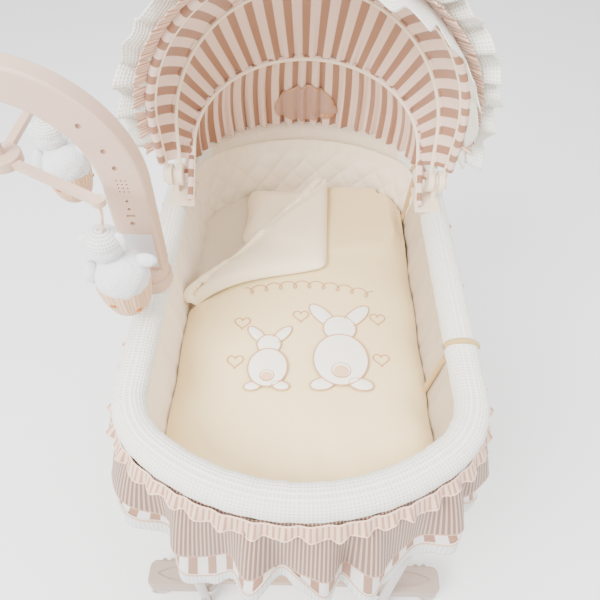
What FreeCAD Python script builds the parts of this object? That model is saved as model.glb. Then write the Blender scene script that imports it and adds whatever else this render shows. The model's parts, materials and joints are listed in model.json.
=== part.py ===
import FreeCAD, Part
import math
import os
from FreeCAD import Rotation, Vector

# Bassinet on a wheeled stand, in millimetres. +Z is up, +Y points to the hooded head end and
# +X to the right side as seen from the foot end. Every sub-part is modelled about the middle
# of the basket, and its Placement then moves it so that the middle of the whole bassinet,
# with its toy mobile, stands on the origin.

doc = FreeCAD.newDocument("BassinetOnStand")
os.makedirs("parts", exist_ok=True)

# ---------------------------------------------------------------- driving dimensions

SIZES = {
    # basket outline, measured outside its padded rim
    "rim_half_width": 262, "rim_half_length": 430, "rim_end_radius": 340,
    "rim_corner_radius": 135, "rim_top": 760,
    "roll_width": 48, "roll_depth": 36, "roll_round": 17, "rim_tube_radius": 7,
    # shell of the basket and its padded lining
    "wall_inset": 12, "wall_thick": 5, "wall_top": 723.5, "liner_thick": 17, "liner_top": 722,
    "pan_bottom": 540, "pan_thick": 12,
    # bedding
    "mattress_thick": 46, "bed_inset": 36,
    "pillow_half_width": 148, "pillow_foot_y": 160, "pillow_head_y": 372,
    "pillow_thick": 36, "pillow_round": 60,
    "duvet_thick": 40, "duvet_side_y": 5, "duvet_head_y": 334, "duvet_fold_x": 48,
    # skirt tiers, as outsets from the rim outline
    "skirt_thick": 5, "skirt_top": 723, "skirt_join": 600, "skirt_lap": 12,
    "skirt_hem": 430, "skirt_top_outset": -6, "skirt_join_outset": 30, "skirt_hem_outset": 58,
    "frill_top": 722, "frill_bottom": 694, "frill_top_outset": 3, "frill_bottom_outset": 15,
    # hood, swung about an axis along X
    "pivot_y": 165, "pivot_z": 795, "hub_radius": 19, "pivot_pin_radius": 4, "pivot_gap": 0.05,
    "mid_hub_inside": 220.2, "mid_hub_outside": 230.2,
    "socket_inside": 230.6, "socket_outside": 238.6,
    "knob_inside": 239, "knob_step": 249, "knob_outside": 255, "knob_cap_radius": 14,
    "front_angle": -7, "front_half_width": 248, "front_height": 370, "front_bow_radius": 4,
    "mid_angle": 15, "mid_half_width": 225.2, "mid_height": 305, "thin_bow_radius": 3.5,
    "rear_angle": 50, "rear_half_width": 203, "rear_height": 216,
    "valance_angle": 95, "valance_half_width": 222, "valance_height": 236,
    "cloth_thick": 3, "cloth_start": 40, "ruffle_width": 40, "ruffle_start": 62,
    "ruffle_thick": 6,
    # stand
    "bar_size": 25, "bar_wall": 2, "bar_y": 322, "bar_z": 64.5, "bar_half": 250,
    "foot_inner": 172, "foot_outer": 322, "foot_width": 56, "foot_bottom": 45, "foot_top": 82,
    "rail_size": 20, "rail_x": 195,
    "leg_x": 195, "leg_y": 360.5, "leg_radius": 9.5, "leg_wall": 1.5, "leg_bottom": 20,
    "top_bar_z": 518, "top_bend": 45, "tip_radius": 11, "tip_thick": 8, "tip_plug": 18,
    "bolt_radius": 3, "bolt_head_radius": 6, "bolt_head_thick": 4,
    "saddle_x": 110, "saddle_long": 60, "saddle_wide": 34, "saddle_bottom": 516,
    "shelf_half_width": 203, "shelf_half_length": 262, "shelf_thick": 8, "shelf_rise": 1,
    "bin_height": 90, "bin_wall": 4, "bin_round": 25,
    # casters
    "caster_x": 292, "caster_trail": 12, "stem_radius": 5, "stem_top": 72,
    "swivel_radius": 14, "swivel_bottom": 39.5, "web_thick": 8,
    "wheel_radius": 19, "wheel_wide": 20, "wheel_gap": 0.5, "axle_radius": 3,
    # toy mobile on the left rim
    "post_x": -241, "post_y": -60, "base_radius": 33, "base_height": 18, "collar_radius": 30,
    "collar_height": 21, "post_radius": 8,
    "arm_wide": 58, "arm_tip_wide": 44, "arm_thick": 34, "arm_bend_z": 950, "arm_bend": 150,
    "arm_round": 5, "hub_reach": 154, "hub_z": 976, "hub_disc_radius": 26,
    "hub_disc_thick": 16, "hub_stem_radius": 6, "branch_reach": 165, "branch_wide": 12,
    "branch_thick": 8, "toy_first_angle": -29, "toy_z": 862, "plush_radius": 46,
    "toy_head_radius": 33, "toy_head_z": 915, "tab_wide": 11, "tab_thick": 3,
    "cone_top_radius": 46, "cone_foot_radius": 20, "cone_top_z": 850, "cone_foot_z": 786,
    "button_radius": 9, "button_z": 880, "button_depth": 6, "button_proud": 2.5,
    "button_room": 2, "barrel_radius": 2.5, "barrel_long": 12, "barrel_lift": 1.2,
    "barrel_gap": 0.2,
    "panel_wide": 44, "panel_bottom": 806, "panel_high": 66, "panel_depth": 2.5,
}

sheet = doc.addObject("Spreadsheet::Sheet", "Sizes")
for row, (alias, number) in enumerate(SIZES.items(), start=1):
    sheet.set(f"A{row}", alias)
    sheet.set(f"B{row}", str(number))
    sheet.setAlias(f"B{row}", alias)
doc.recompute()


def size(alias):
    """One driving dimension, read from the sheet."""
    return float(sheet.get(alias))


# The widest points across: a caster wheel on the right and the outer toy on the left.
wheel_reach = size("caster_x") + size("caster_trail") + size("wheel_radius")
hub_x = size("post_x") - size("hub_reach")
outer_toy_angle = math.radians(size("toy_first_angle") + 240)
toy_reach = hub_x + size("branch_reach") * math.cos(outer_toy_angle) - size("plush_radius")
last_row = len(SIZES) + 1
sheet.set(f"A{last_row}", "centre_x")
sheet.set(f"B{last_row}", str((wheel_reach + toy_reach) / 2))
sheet.setAlias(f"B{last_row}", "centre_x")
doc.recompute()

SUBPARTS = []


# ---------------------------------------------------------------- document helpers

def bind(item, expressions):
    """Tie properties of a document object to cells of the sheet."""
    for path, expression in expressions.items():
        item.setExpression(path, expression)
    return item


def place(item, x="0", y="0", z="0"):
    """Tie an object's place to the sheet."""
    return bind(item, {"Placement.Base.x": x, "Placement.Base.y": y, "Placement.Base.z": z})


def box(name, long, wide, high, x, y, z):
    """A block whose low corner is at x, y, z."""
    item = doc.addObject("Part::Box", name)
    bind(item, {"Length": long, "Width": wide, "Height": high})
    return place(item, x, y, z)


def cut(name, base, tool):
    """One object minus another."""
    item = doc.addObject("Part::Cut", name)
    item.Base = base
    item.Tool = tool
    return item


def fuse(name, items):
    """Several objects joined."""
    item = doc.addObject("Part::MultiFuse", name)
    item.Shapes = items
    return item


def feature(name, shape):
    """A shape made by Part's own functions from the sheet's values.

    The compound keeps the shape where it is when the object gets its own Placement.
    """
    item = doc.addObject("Part::Feature", name)
    item.Shape = Part.makeCompound([shape])
    return item


def finish(item, label):
    """Label a sub-part, and move it to the frame of the whole bassinet."""
    item.Label = label
    place(item, "-Sizes.centre_x")
    SUBPARTS.append(item)
    return item


def body_with_pad(name, curves, length, base_z):
    """A PartDesign body: one flat sketch on its XY plane, padded upwards."""
    body = doc.addObject("PartDesign::Body", name)
    plane = next(item for item in body.Origin.OriginFeatures if item.Role == "XY_Plane")
    sketch = body.newObject("Sketcher::SketchObject", name + "_sketch")
    sketch.AttachmentSupport = (plane, "")
    sketch.MapMode = "FlatFace"
    sketch.setExpression("AttachmentOffset.Base.z", base_z)
    sketch.addGeometry(curves, False)
    pad = body.newObject("PartDesign::Pad", name + "_pad")
    pad.Profile = sketch
    pad.setExpression("Length", length)
    sketch.Visibility = False
    body.Tip = pad
    return body


# ---------------------------------------------------------------- outlines and sections

def outline(inset):
    """The basket's plan outline, as tangent arcs and lines, moved inwards by inset."""
    corner_x = size("rim_half_width") - size("rim_corner_radius")
    end_y = size("rim_half_length") - size("rim_end_radius")
    reach = size("rim_end_radius") - size("rim_corner_radius")
    corner_y = end_y + math.sqrt(reach ** 2 - corner_x ** 2)
    turn = math.atan2(corner_y - end_y, corner_x)
    side_x = size("rim_half_width") - inset
    corner = size("rim_corner_radius") - inset
    end = size("rim_end_radius") - inset

    def arc(x, y, radius, start, stop):
        return Part.ArcOfCircle(Part.Circle(Vector(x, y, 0), Vector(0, 0, 1), radius),
                                start, stop)

    return [
        arc(corner_x, corner_y, corner, 0, turn),
        arc(0, end_y, end, turn, math.pi - turn),
        arc(-corner_x, corner_y, corner, math.pi - turn, math.pi),
        Part.LineSegment(Vector(-side_x, corner_y, 0), Vector(-side_x, -corner_y, 0)),
        arc(-corner_x, -corner_y, corner, math.pi, math.pi + turn),
        arc(0, -end_y, end, math.pi + turn, 2 * math.pi - turn),
        arc(corner_x, -corner_y, corner, 2 * math.pi - turn, 2 * math.pi),
        Part.LineSegment(Vector(side_x, -corner_y, 0), Vector(side_x, corner_y, 0)),
    ]


def outline_wire(inset, z):
    """The outline as a wire at height z."""
    wire = Part.Wire([curve.toShape() for curve in outline(inset)])
    return wire.translated(Vector(0, 0, z))


def flared_ring(outset_low, z_low, outset_high, z_high, thick):
    """A thin ring that follows the outline and flares between two heights."""
    outer = Part.makeLoft([outline_wire(-outset_low, z_low),
                           outline_wire(-outset_high, z_high)], True, True)
    inner = Part.makeLoft([outline_wire(thick - outset_low, z_low),
                           outline_wire(thick - outset_high, z_high)], True, True)
    return outer.cut(inner)


def rounded_rectangle(half_x, half_y, radius):
    """A rounded rectangle about the origin, in the XY plane."""
    inner_x = half_x - radius
    inner_y = half_y - radius
    curves = []
    for quarter, (sx, sy) in enumerate([(1, 1), (-1, 1), (-1, -1), (1, -1)]):
        centre = Vector(sx * inner_x, sy * inner_y, 0)
        start = quarter * math.pi / 2
        curves.append(Part.ArcOfCircle(Part.Circle(centre, Vector(0, 0, 1), radius),
                                       start, start + math.pi / 2))
    joined = []
    for index, curve in enumerate(curves):
        following = curves[(index + 1) % 4]
        joined.append(curve)
        joined.append(Part.LineSegment(curve.EndPoint, following.StartPoint))
    return joined


def arch_curve(half_width, height, base):
    """Two straight legs and an elliptical crown, in the XZ plane, base up to height."""
    spring = 0.27 * height
    half_circle = Part.ArcOfCircle(Part.Circle(Vector(0, 0, 0), Vector(0, 0, 1), 1),
                                   0, math.pi).toShape()
    half_circle.rotate(Vector(0, 0, 0), Vector(1, 0, 0), 90)
    stretch = FreeCAD.Matrix()
    stretch.scale(half_width, 1, height - spring)
    stretch.move(0, 0, spring)
    crown = half_circle.transformGeometry(stretch).Edges[0]
    right = Vector(half_width, 0, spring)
    left = Vector(-half_width, 0, spring)
    return [
        Part.LineSegment(Vector(half_width, 0, base), right).toShape(),
        crown,
        Part.LineSegment(left, Vector(-half_width, 0, base)).toShape(),
    ]


def swing(shape, angle):
    """Lean a shape from the upright plane of the hood's axis back by an angle."""
    pivot = Vector(0, size("pivot_y"), size("pivot_z"))
    moved = shape.translated(pivot)
    moved.rotate(pivot, Vector(1, 0, 0), -angle)
    return moved


def arch_band(half_width, height, base, thick, angle):
    """The closed section of a cloth shell: an arch with a thickness, at an angle."""
    outer = arch_curve(half_width + thick / 2, height + thick / 2, base)
    inner = arch_curve(half_width - thick / 2, height - thick / 2, base)
    feet = []
    for side in (0, 2):
        ends = [edge.Vertexes[0 if side == 0 else 1].Point
                for edge in (outer[side], inner[side])]
        feet.append(Part.LineSegment(ends[0], ends[1]).toShape())
    ring = Part.Wire([outer[0], outer[1], outer[2], feet[1],
                      inner[2], inner[1], inner[0], feet[0]])
    return swing(ring, angle)


def bow(half_width, height, base, radius, angle):
    """A bent round bow in one leaning plane."""
    path = Part.Wire(arch_curve(half_width, height, base))
    start = Part.Wire(Part.makeCircle(radius, Vector(half_width, 0, base), Vector(0, 0, 1)))
    return swing(path.makePipeShell([start], True, False), angle)


# ---------------------------------------------------------------- stand

def build_stand():
    ends = {"foot": -1, "head": 1}
    sides = {"left": -1, "right": 1}
    for end, sy in ends.items():
        outer = box(end + "_bar_outer", "2*Sizes.bar_half", "Sizes.bar_size", "Sizes.bar_size",
                    "-Sizes.bar_half", f"{sy}*Sizes.bar_y-Sizes.bar_size/2",
                    "Sizes.bar_z-Sizes.bar_size/2")
        inner = box(end + "_bar_inner", "2*Sizes.bar_half", "Sizes.bar_size-2*Sizes.bar_wall",
                    "Sizes.bar_size-2*Sizes.bar_wall", "-Sizes.bar_half",
                    f"{sy}*Sizes.bar_y-Sizes.bar_size/2+Sizes.bar_wall",
                    "Sizes.bar_z-Sizes.bar_size/2+Sizes.bar_wall")
        finish(cut(end + "_bar", outer, inner), end + "_crossbar")
        for side, sx in sides.items():
            finish(foot(end + "_" + side, sx, sy), f"stand_foot_{end}_{side}")
        finish(legs(end, sy), end + "_legs")
        finish(top_bar(end, sy), end + "_top_bar")

    rails = [feature("rail_" + side, rail(sx)) for side, sx in sides.items()]
    finish(fuse("rails", rails), "side_rails")
    finish(feature("tips", leg_tips()), "leg_tips")
    finish(feature("bolts", leg_bolts(0)), "leg_bolts")
    wall_outer = rounded_rectangle(size("shelf_half_width"), size("shelf_half_length"),
                                   size("bin_round"))
    wall_inner = rounded_rectangle(size("shelf_half_width") - size("bin_wall"),
                                   size("shelf_half_length") - size("bin_wall"),
                                   size("bin_round") - size("bin_wall"))
    board = box("board", "2*Sizes.shelf_half_width", "2*Sizes.shelf_half_length",
                "Sizes.shelf_thick", "-Sizes.shelf_half_width", "-Sizes.shelf_half_length",
                "Sizes.bar_z+Sizes.rail_size/2")
    inside = size("bin_wall") + 1
    panel = body_with_pad("shelf_panel", rounded_rectangle(
        size("shelf_half_width") - inside, size("shelf_half_length") - inside,
        size("bin_round") - inside), "Sizes.shelf_rise",
        "Sizes.bar_z+Sizes.rail_size/2+Sizes.shelf_thick")
    finish(fuse("shelf", [board, panel]), "storage_shelf")
    finish(body_with_pad("bin_wall", wall_outer + wall_inner, "Sizes.bin_height",
                         "Sizes.bar_z+Sizes.rail_size/2+Sizes.shelf_thick"), "storage_wall")


def foot(name, sx, sy):
    """A moulded foot: rounded block, lens recess on top, sockets for bar, rail and stem."""
    half_long = (size("foot_outer") - size("foot_inner")) / 2
    middle = Vector(sx * (size("foot_inner") + half_long), sy * size("bar_y"), 0)
    high = size("foot_top") - size("foot_bottom")
    plan = Part.Wire([curve.toShape() for curve in
                      rounded_rectangle(half_long, size("foot_width") / 2, 16)])
    block = Part.Face(plan).extrude(Vector(0, 0, high))
    top_edges = [edge for edge in block.Edges if edge.BoundBox.ZMin > high - 0.1]
    block = block.makeFillet(5, top_edges)
    block.translate(middle + Vector(0, 0, size("foot_bottom")))
    lens_radius = 110
    lens_half_wide = 15
    lens = None
    for way in (-1, 1):
        disc = Part.makeCylinder(lens_radius, 6, middle + Vector(
            0, way * (lens_radius - lens_half_wide), size("foot_top") - 3))
        lens = disc if lens is None else lens.common(disc)
    for offset in (8, 26):
        ear = Part.makeCylinder(6, 12, Vector(
            middle.x + sx * (half_long - 22 - offset), middle.y - sy * size("foot_width") / 2,
            size("foot_top") - 20))
        block = block.fuse(ear)
    bar = size("bar_size")
    bar_socket = Part.makeBox(
        2 * size("bar_half"), bar, bar,
        Vector(-size("bar_half"), sy * size("bar_y") - bar / 2, size("bar_z") - bar / 2))
    stem_hole = Part.makeCylinder(
        size("stem_radius") + size("pivot_gap"), size("stem_top") + 1 - size("foot_bottom"),
        Vector(sx * size("caster_x"), sy * size("bar_y"), size("foot_bottom")))
    shape = block.cut([lens, bar_socket, rail(sx), stem_hole, leg_bolts(0)]).removeSplitter()
    return feature("foot_" + name, shape)


def rail(sx):
    """A side rail between the two crossbars."""
    inner = size("bar_y") - size("bar_size") / 2
    wide = size("rail_size")
    return Part.makeBox(wide, 2 * inner, wide, Vector(
        sx * size("rail_x") - wide / 2, -inner, size("bar_z") - wide / 2))


def legs(end, sy):
    """The two upright tubes of one end frame."""
    top = size("top_bar_z") - size("top_bend")
    high = top - size("leg_bottom")
    tubes = []
    for sx in (-1, 1):
        start = Vector(sx * size("leg_x"), sy * size("leg_y"), size("leg_bottom"))
        tube = Part.makeCylinder(size("leg_radius"), high, start)
        bore = Part.makeCylinder(size("leg_radius") - size("leg_wall"), high, start)
        tubes.append(tube.cut([bore, leg_bolts(0)]))
    return feature(end + "_leg_pair", Part.makeCompound(tubes))


def top_bar(end, sy):
    """The bent tube that joins the tops of two legs and carries the basket."""
    y = sy * size("leg_y")
    side = size("leg_x")
    bend = size("top_bend")
    top = size("top_bar_z")
    low = top - bend
    slant = bend * math.sqrt(0.5)
    path = Part.Wire([
        Part.Arc(Vector(-side, y, low), Vector(-side + bend - slant, y, low + slant),
                 Vector(-side + bend, y, top)).toShape(),
        Part.LineSegment(Vector(-side + bend, y, top), Vector(side - bend, y, top)).toShape(),
        Part.Arc(Vector(side - bend, y, top), Vector(side - bend + slant, y, low + slant),
                 Vector(side, y, low)).toShape(),
    ])
    rim = Part.Wire(Part.makeCircle(size("leg_radius"), Vector(-side, y, low),
                                    Vector(0, 0, 1)))
    return feature(end + "_carrier", path.makePipeShell([rim], True, False))


def leg_tips():
    """Plastic plugs in the open lower ends of the four legs."""
    tips = []
    for sx in (-1, 1):
        for sy in (-1, 1):
            at = Vector(sx * size("leg_x"), sy * size("leg_y"),
                        size("leg_bottom") - size("tip_thick"))
            cap = Part.makeCylinder(size("tip_radius"), size("tip_thick"), at)
            plug = Part.makeCylinder(size("leg_radius") - size("leg_wall"),
                                     size("tip_thick") + size("tip_plug"), at)
            tips.append(cap.fuse(plug))
    return Part.makeCompound(tips)


def leg_bolts(extra):
    """Bolts that run through each leg into its foot."""
    bolts = []
    for sx in (-1, 1):
        for sy in (-1, 1):
            head_y = sy * (size("leg_y") + size("leg_radius") + size("bolt_head_thick"))
            inwards = Vector(0, -sy, 0)
            start = Vector(sx * size("leg_x"), head_y, size("bar_z"))
            inner_y = size("bar_y") + size("bar_size") / 2
            shank_long = abs(head_y) - inner_y
            shank = Part.makeCylinder(size("bolt_radius") + extra, shank_long, start, inwards)
            head = Part.makeCylinder(size("bolt_head_radius") + extra,
                                     size("bolt_head_thick"), start, inwards)
            bolts.append(shank.fuse(head))
    return Part.makeCompound(bolts)


# ---------------------------------------------------------------- casters

def build_casters():
    for end, sy in (("foot", -1), ("head", 1)):
        for side, sx in (("left", -1), ("right", 1)):
            name = end + "_" + side
            stem = Vector(sx * size("caster_x"), sy * size("bar_y"), 0)
            axle = stem + Vector(sx * size("caster_trail"), 0, size("wheel_radius"))
            finish(feature("fork_" + name, caster_fork(stem, axle)), "caster_fork_" + name)
            finish(feature("wheels_" + name, caster_wheels(axle)), "caster_wheels_" + name)


def caster_fork(stem, axle):
    """A stem, a swivel plate and a web that carries the axle between two wheels."""
    plate_top = size("foot_bottom") - 0.3
    plate_low = size("swivel_bottom")
    shank = Part.makeCylinder(size("stem_radius"), size("stem_top") - plate_low,
                              stem + Vector(0, 0, plate_low))
    plate = Part.makeCylinder(size("swivel_radius"), plate_top - plate_low,
                              stem + Vector(0, 0, plate_low))
    web_half = size("web_thick") / 2
    boss = Part.makeCylinder(10, size("web_thick"), axle - Vector(0, web_half, 0),
                             Vector(0, 1, 0))
    low_x = min(stem.x, axle.x) - 8
    web_long = size("caster_trail") + 16
    web = Part.makeBox(web_long, size("web_thick"), plate_low - axle.z + 1,
                       Vector(low_x, stem.y - web_half, axle.z))
    bore = Part.makeCylinder(size("axle_radius") + size("pivot_gap"), size("web_thick"),
                             axle - Vector(0, web_half, 0), Vector(0, 1, 0))
    return shank.fuse([plate, web, boss]).cut(bore).removeSplitter()


def caster_wheels(axle):
    """Two wheels on one axle, each dished on its outer face."""
    inner = size("web_thick") / 2 + size("wheel_gap")
    wide = size("wheel_wide")
    across = Vector(0, 1, 0)
    pieces = []
    for way in (-1, 1):
        low_y = inner if way == 1 else -inner - wide
        wheel = Part.makeCylinder(size("wheel_radius"), wide, axle + Vector(0, low_y, 0),
                                  across)
        wheel = wheel.makeFillet(2.5, [edge for edge in wheel.Edges
                                       if isinstance(edge.Curve, Part.Circle)])
        dish_y = inner + wide - 3 if way == 1 else -inner - wide
        dish = Part.makeCylinder(size("wheel_radius") - 6, 3, axle + Vector(0, dish_y, 0),
                                 across)
        cap_y = inner + wide - 4 if way == 1 else -inner - wide + 1
        cap = Part.makeCylinder(6, 3, axle + Vector(0, cap_y, 0), across)
        pieces.append(wheel.cut(dish).fuse(cap))
    pin = Part.makeCylinder(size("axle_radius"), 2 * inner + 4,
                            axle - Vector(0, inner + 2, 0), across)
    return pin.fuse(pieces).removeSplitter()


# ---------------------------------------------------------------- basket

def build_basket():
    wall_low = size("pan_bottom") + size("pan_thick")
    finish(body_with_pad("pan_body", outline(size("wall_inset")), "Sizes.pan_thick",
                         "Sizes.pan_bottom"), "basket_pan")
    wall = outline(size("wall_inset")) + outline(size("wall_inset") + size("wall_thick"))
    finish(body_with_pad("wall_body", wall, f"Sizes.wall_top-{wall_low}",
                         "Sizes.pan_bottom+Sizes.pan_thick"), "basket_wall")
    liner_inset = size("wall_inset") + size("wall_thick")
    liner = outline(liner_inset) + outline(liner_inset + size("liner_thick"))
    finish(body_with_pad("liner_body", liner, f"Sizes.liner_top-{wall_low}",
                         "Sizes.pan_bottom+Sizes.pan_thick"), "padded_liner")
    finish(body_with_pad("mattress_body", outline(size("bed_inset")), "Sizes.mattress_thick",
                         "Sizes.pan_bottom+Sizes.pan_thick"), "mattress")

    tube = swept_ring("circle")
    finish(feature("rim_tube_ring", tube), "rim_tube")
    finish(feature("rim_roll_ring", swept_ring("roll").cut(tube)), "rim_roll")
    finish(feature("pillow_pad", pillow(0)), "pillow")
    finish(feature("duvet_pad", duvet()), "duvet")

    skirt = size("skirt_thick")
    finish(feature("skirt_upper_ring", flared_ring(
        size("skirt_join_outset"), size("skirt_join"),
        size("skirt_top_outset"), size("skirt_top"), skirt)), "skirt_upper")
    lap_outset = size("skirt_join_outset") - 2 * skirt
    finish(feature("skirt_lower_ring", flared_ring(
        size("skirt_hem_outset"), size("skirt_hem"),
        lap_outset, size("skirt_join") + size("skirt_lap"), skirt)), "skirt_lower")
    finish(feature("frill_ring", flared_ring(
        size("frill_bottom_outset"), size("frill_bottom"),
        size("frill_top_outset"), size("frill_top"), skirt)), "skirt_frill")
    finish(feature("saddle_set", saddles()), "pan_saddles")


def swept_ring(section):
    """The rim's steel tube, or the padded roll around it, swept round the outline."""
    inset = size("roll_width") / 2
    z = size("rim_top") - size("roll_depth") / 2
    path = outline_wire(inset, z)
    start = path.Vertexes[0].Point
    if section == "circle":
        profile = Part.Wire(Part.makeCircle(size("rim_tube_radius"), start, Vector(0, 1, 0)))
    else:
        curves = rounded_rectangle(size("roll_width") / 2, size("roll_depth") / 2,
                                   size("roll_round"))
        profile = Part.Wire([curve.toShape() for curve in curves])
        profile.rotate(Vector(0, 0, 0), Vector(1, 0, 0), 90)
        profile.translate(start)
    return path.makePipeShell([profile], True, False)


def pillow(extra):
    """A flat pillow at the head end, grown by extra."""
    half_y = (size("pillow_head_y") - size("pillow_foot_y")) / 2
    low = size("pan_bottom") + size("pan_thick") + size("mattress_thick") + 0.3
    plan = Part.Wire([curve.toShape() for curve in rounded_rectangle(
        size("pillow_half_width") + extra, half_y + extra, size("pillow_round"))])
    block = Part.Face(plan).extrude(Vector(0, 0, size("pillow_thick") + extra))
    return block.translated(Vector(0, size("pillow_foot_y") + half_y, low))


def duvet():
    """A quilt over the mattress and the right half of the pillow, one corner turned back."""
    low = size("pan_bottom") + size("pan_thick") + size("mattress_thick") + 0.3
    plan = Part.Face(outline_wire(size("bed_inset") + 1, low))
    quilt = plan.extrude(Vector(0, 0, size("duvet_thick")))
    raised = plan.extrude(Vector(0, 0, size("pillow_thick") + 20))
    far = size("rim_half_length")
    over_pillow = Part.makeBox(2 * far, far, 200, Vector(-far, size("pillow_foot_y") - 30, low))
    quilt = quilt.fuse(raised.common(over_pillow))
    beyond = Part.makeBox(2 * far, far, 200, Vector(-far, size("duvet_head_y"), low - 1))
    side = size("rim_half_width")
    fold = Part.makePolygon([
        Vector(-side, size("duvet_side_y"), low - 1),
        Vector(size("duvet_fold_x"), size("duvet_head_y"), low - 1),
        Vector(size("duvet_fold_x"), far, low - 1), Vector(-side, far, low - 1),
        Vector(-side, size("duvet_side_y"), low - 1)])
    corner = Part.Face(fold).extrude(Vector(0, 0, 200))
    return quilt.cut([beyond, corner, pillow(0.3)]).removeSplitter()


def saddles():
    """Four blocks under the pan that sit over the stand's carrier tubes."""
    blocks = []
    for sx in (-1, 1):
        for sy in (-1, 1):
            block = Part.makeBox(
                size("saddle_long"), size("saddle_wide"),
                size("pan_bottom") - size("saddle_bottom"),
                Vector(sx * size("saddle_x") - size("saddle_long") / 2,
                       sy * size("leg_y") - size("saddle_wide") / 2, size("saddle_bottom")))
            groove = Part.makeCylinder(
                size("leg_radius") + 0.4, 2 * size("leg_x"),
                Vector(-size("leg_x"), sy * size("leg_y"), size("top_bar_z")), Vector(1, 0, 0))
            below = Part.makeBox(
                2 * size("leg_x"), 2 * (size("leg_radius") + 0.4), 20,
                Vector(-size("leg_x"), sy * size("leg_y") - size("leg_radius") - 0.4,
                       size("top_bar_z") - 20))
            blocks.append(block.cut([groove, below]))
    return Part.makeCompound(blocks)


# ---------------------------------------------------------------- hood

def build_hood():
    cloth = size("cloth_thick")
    start = size("cloth_start")
    for side, sx in (("left", -1), ("right", 1)):
        finish(feature("socket_" + side, hood_socket(sx)), "hood_socket_" + side)
    rear_base = -(size("pivot_z") - size("rim_top") - 4) / math.cos(
        math.radians(size("rear_angle")))
    rear = bow(size("rear_half_width"), size("rear_height"), rear_base,
               size("thin_bow_radius"), size("rear_angle"))
    floor = Part.makeBox(600, 600, 100, Vector(-300, -100, size("rim_top") + 4 - 100))
    finish(feature("rear_bow_tube", rear.cut(floor)), "hood_rear_bow")

    # The fixed cloth stays inside the path of the middle bow, so the hood can fold over it.
    inside = 2 * size("thin_bow_radius")
    front_edge = arch_band(size("mid_half_width") - inside, size("mid_height") - inside - 2,
                           start, cloth, size("mid_angle") + 4)
    seam = size("thin_bow_radius") + cloth / 2 + 0.3
    rear_edge = arch_band(size("rear_half_width") + seam, size("rear_height") + seam, start,
                          cloth, size("rear_angle") - 1)
    finish(feature("dome_cloth", Part.makeLoft([front_edge, rear_edge], True, True)),
           "hood_dome")
    valance_top = arch_band(size("rear_half_width") + seam, size("rear_height") + seam, start,
                            cloth, size("rear_angle") + 1)
    valance_low = arch_band(size("valance_half_width"), size("valance_height"), start, cloth,
                            size("valance_angle"))
    finish(feature("valance_cloth", Part.makeLoft([valance_top, valance_low], True, True)),
           "hood_valance")

    middle = bow(size("mid_half_width"), size("mid_height"), 10, size("thin_bow_radius"),
                 size("mid_angle"))
    finish(feature("mid_bow_tube", middle), "hood_mid_bow")
    finish(feature("mid_hub_pair", hub_pair("mid_hub_inside", "mid_hub_outside", middle)),
           "hood_mid_hubs")
    front = bow(size("front_half_width"), size("front_height"), 12, size("front_bow_radius"),
                size("front_angle"))
    finish(feature("front_bow_tube", front), "hood_front_bow")
    knobs = hub_pair("knob_inside", "knob_step", front)
    finish(feature("front_knob_pair", knobs.fuse(knob_caps()).cut(front)), "hood_knobs")

    # The front band starts outside the middle bow and widens to the front bow.
    outside = size("thin_bow_radius") + cloth / 2 + 3
    band_rear = arch_band(size("mid_half_width") + outside, size("mid_height") + outside,
                          start, cloth, size("mid_angle") - 2)
    band_front = arch_band(size("front_half_width"), size("front_height"), start, cloth,
                           size("front_angle") + 1.6)
    around_bow = bow(size("front_half_width"), size("front_height"), 12,
                     size("front_bow_radius") + 0.3, size("front_angle"))
    band = Part.makeLoft([band_rear, band_front], True, True).cut(around_bow)
    finish(feature("band_cloth", band), "hood_front_band")
    clear = size("front_bow_radius") + size("ruffle_thick") / 2 + 0.5
    ruffle_in = arch_band(size("front_half_width") + clear, size("front_height") + clear,
                          size("ruffle_start"), size("ruffle_thick"), size("front_angle") - 1)
    ruffle_out = arch_band(size("front_half_width") + size("ruffle_width"),
                           size("front_height") + size("ruffle_width"),
                           size("ruffle_start"), size("ruffle_thick"),
                           size("front_angle") - 7)
    finish(feature("ruffle_cloth", Part.makeLoft([ruffle_in, ruffle_out], True, True)),
           "hood_ruffle")


def axis_disc(radius, near, far):
    """A disc about the hood's axis, on the right side, between two distances from X = 0."""
    return Part.makeCylinder(radius, far - near, Vector(near, size("pivot_y"), size("pivot_z")),
                             Vector(1, 0, 0))


def both_sides(shape):
    """A shape on the right side together with its mirror image on the left."""
    return Part.makeCompound([shape, shape.mirror(Vector(0, 0, 0), Vector(1, 0, 0))])


def hub_pair(near, far, tube):
    """Discs that turn on the pivot pins and hold the ends of one bow."""
    disc = axis_disc(size("hub_radius"), size(near), size(far))
    bore = axis_disc(size("pivot_pin_radius") + size("pivot_gap"), size(near) - 1,
                     size(far) + 1)
    return both_sides(disc.cut([bore, tube]))


def knob_caps():
    """The smaller outer layer of each knob, closed over the end of its pin."""
    cap = axis_disc(size("knob_cap_radius"), size("knob_step"), size("knob_outside"))
    pin_hole = axis_disc(size("pivot_pin_radius") + size("pivot_gap"), size("knob_step"),
                         size("knob_step") + 3)
    return both_sides(cap.cut(pin_hole))


def hood_socket(sx):
    """A bracket on the rim: foot plate, upright and the pin that both bows turn on."""
    top = size("rim_top")
    near = size("socket_inside")
    far = size("socket_outside")
    y = size("pivot_y")
    plate = Part.makeBox(46, 66, 4, Vector(199, y - 46, top))
    upright = Part.makeBox(far - near, 24, size("pivot_z") - top, Vector(near, y - 12, top))
    crown = axis_disc(12, near, far)
    pin = axis_disc(size("pivot_pin_radius"), size("mid_hub_inside"), size("knob_step") + 2.5)
    bracket = plate.fuse([upright, crown, pin]).removeSplitter()
    if sx == -1:
        bracket = bracket.mirror(Vector(0, 0, 0), Vector(1, 0, 0))
    return bracket


# ---------------------------------------------------------------- mobile

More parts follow.
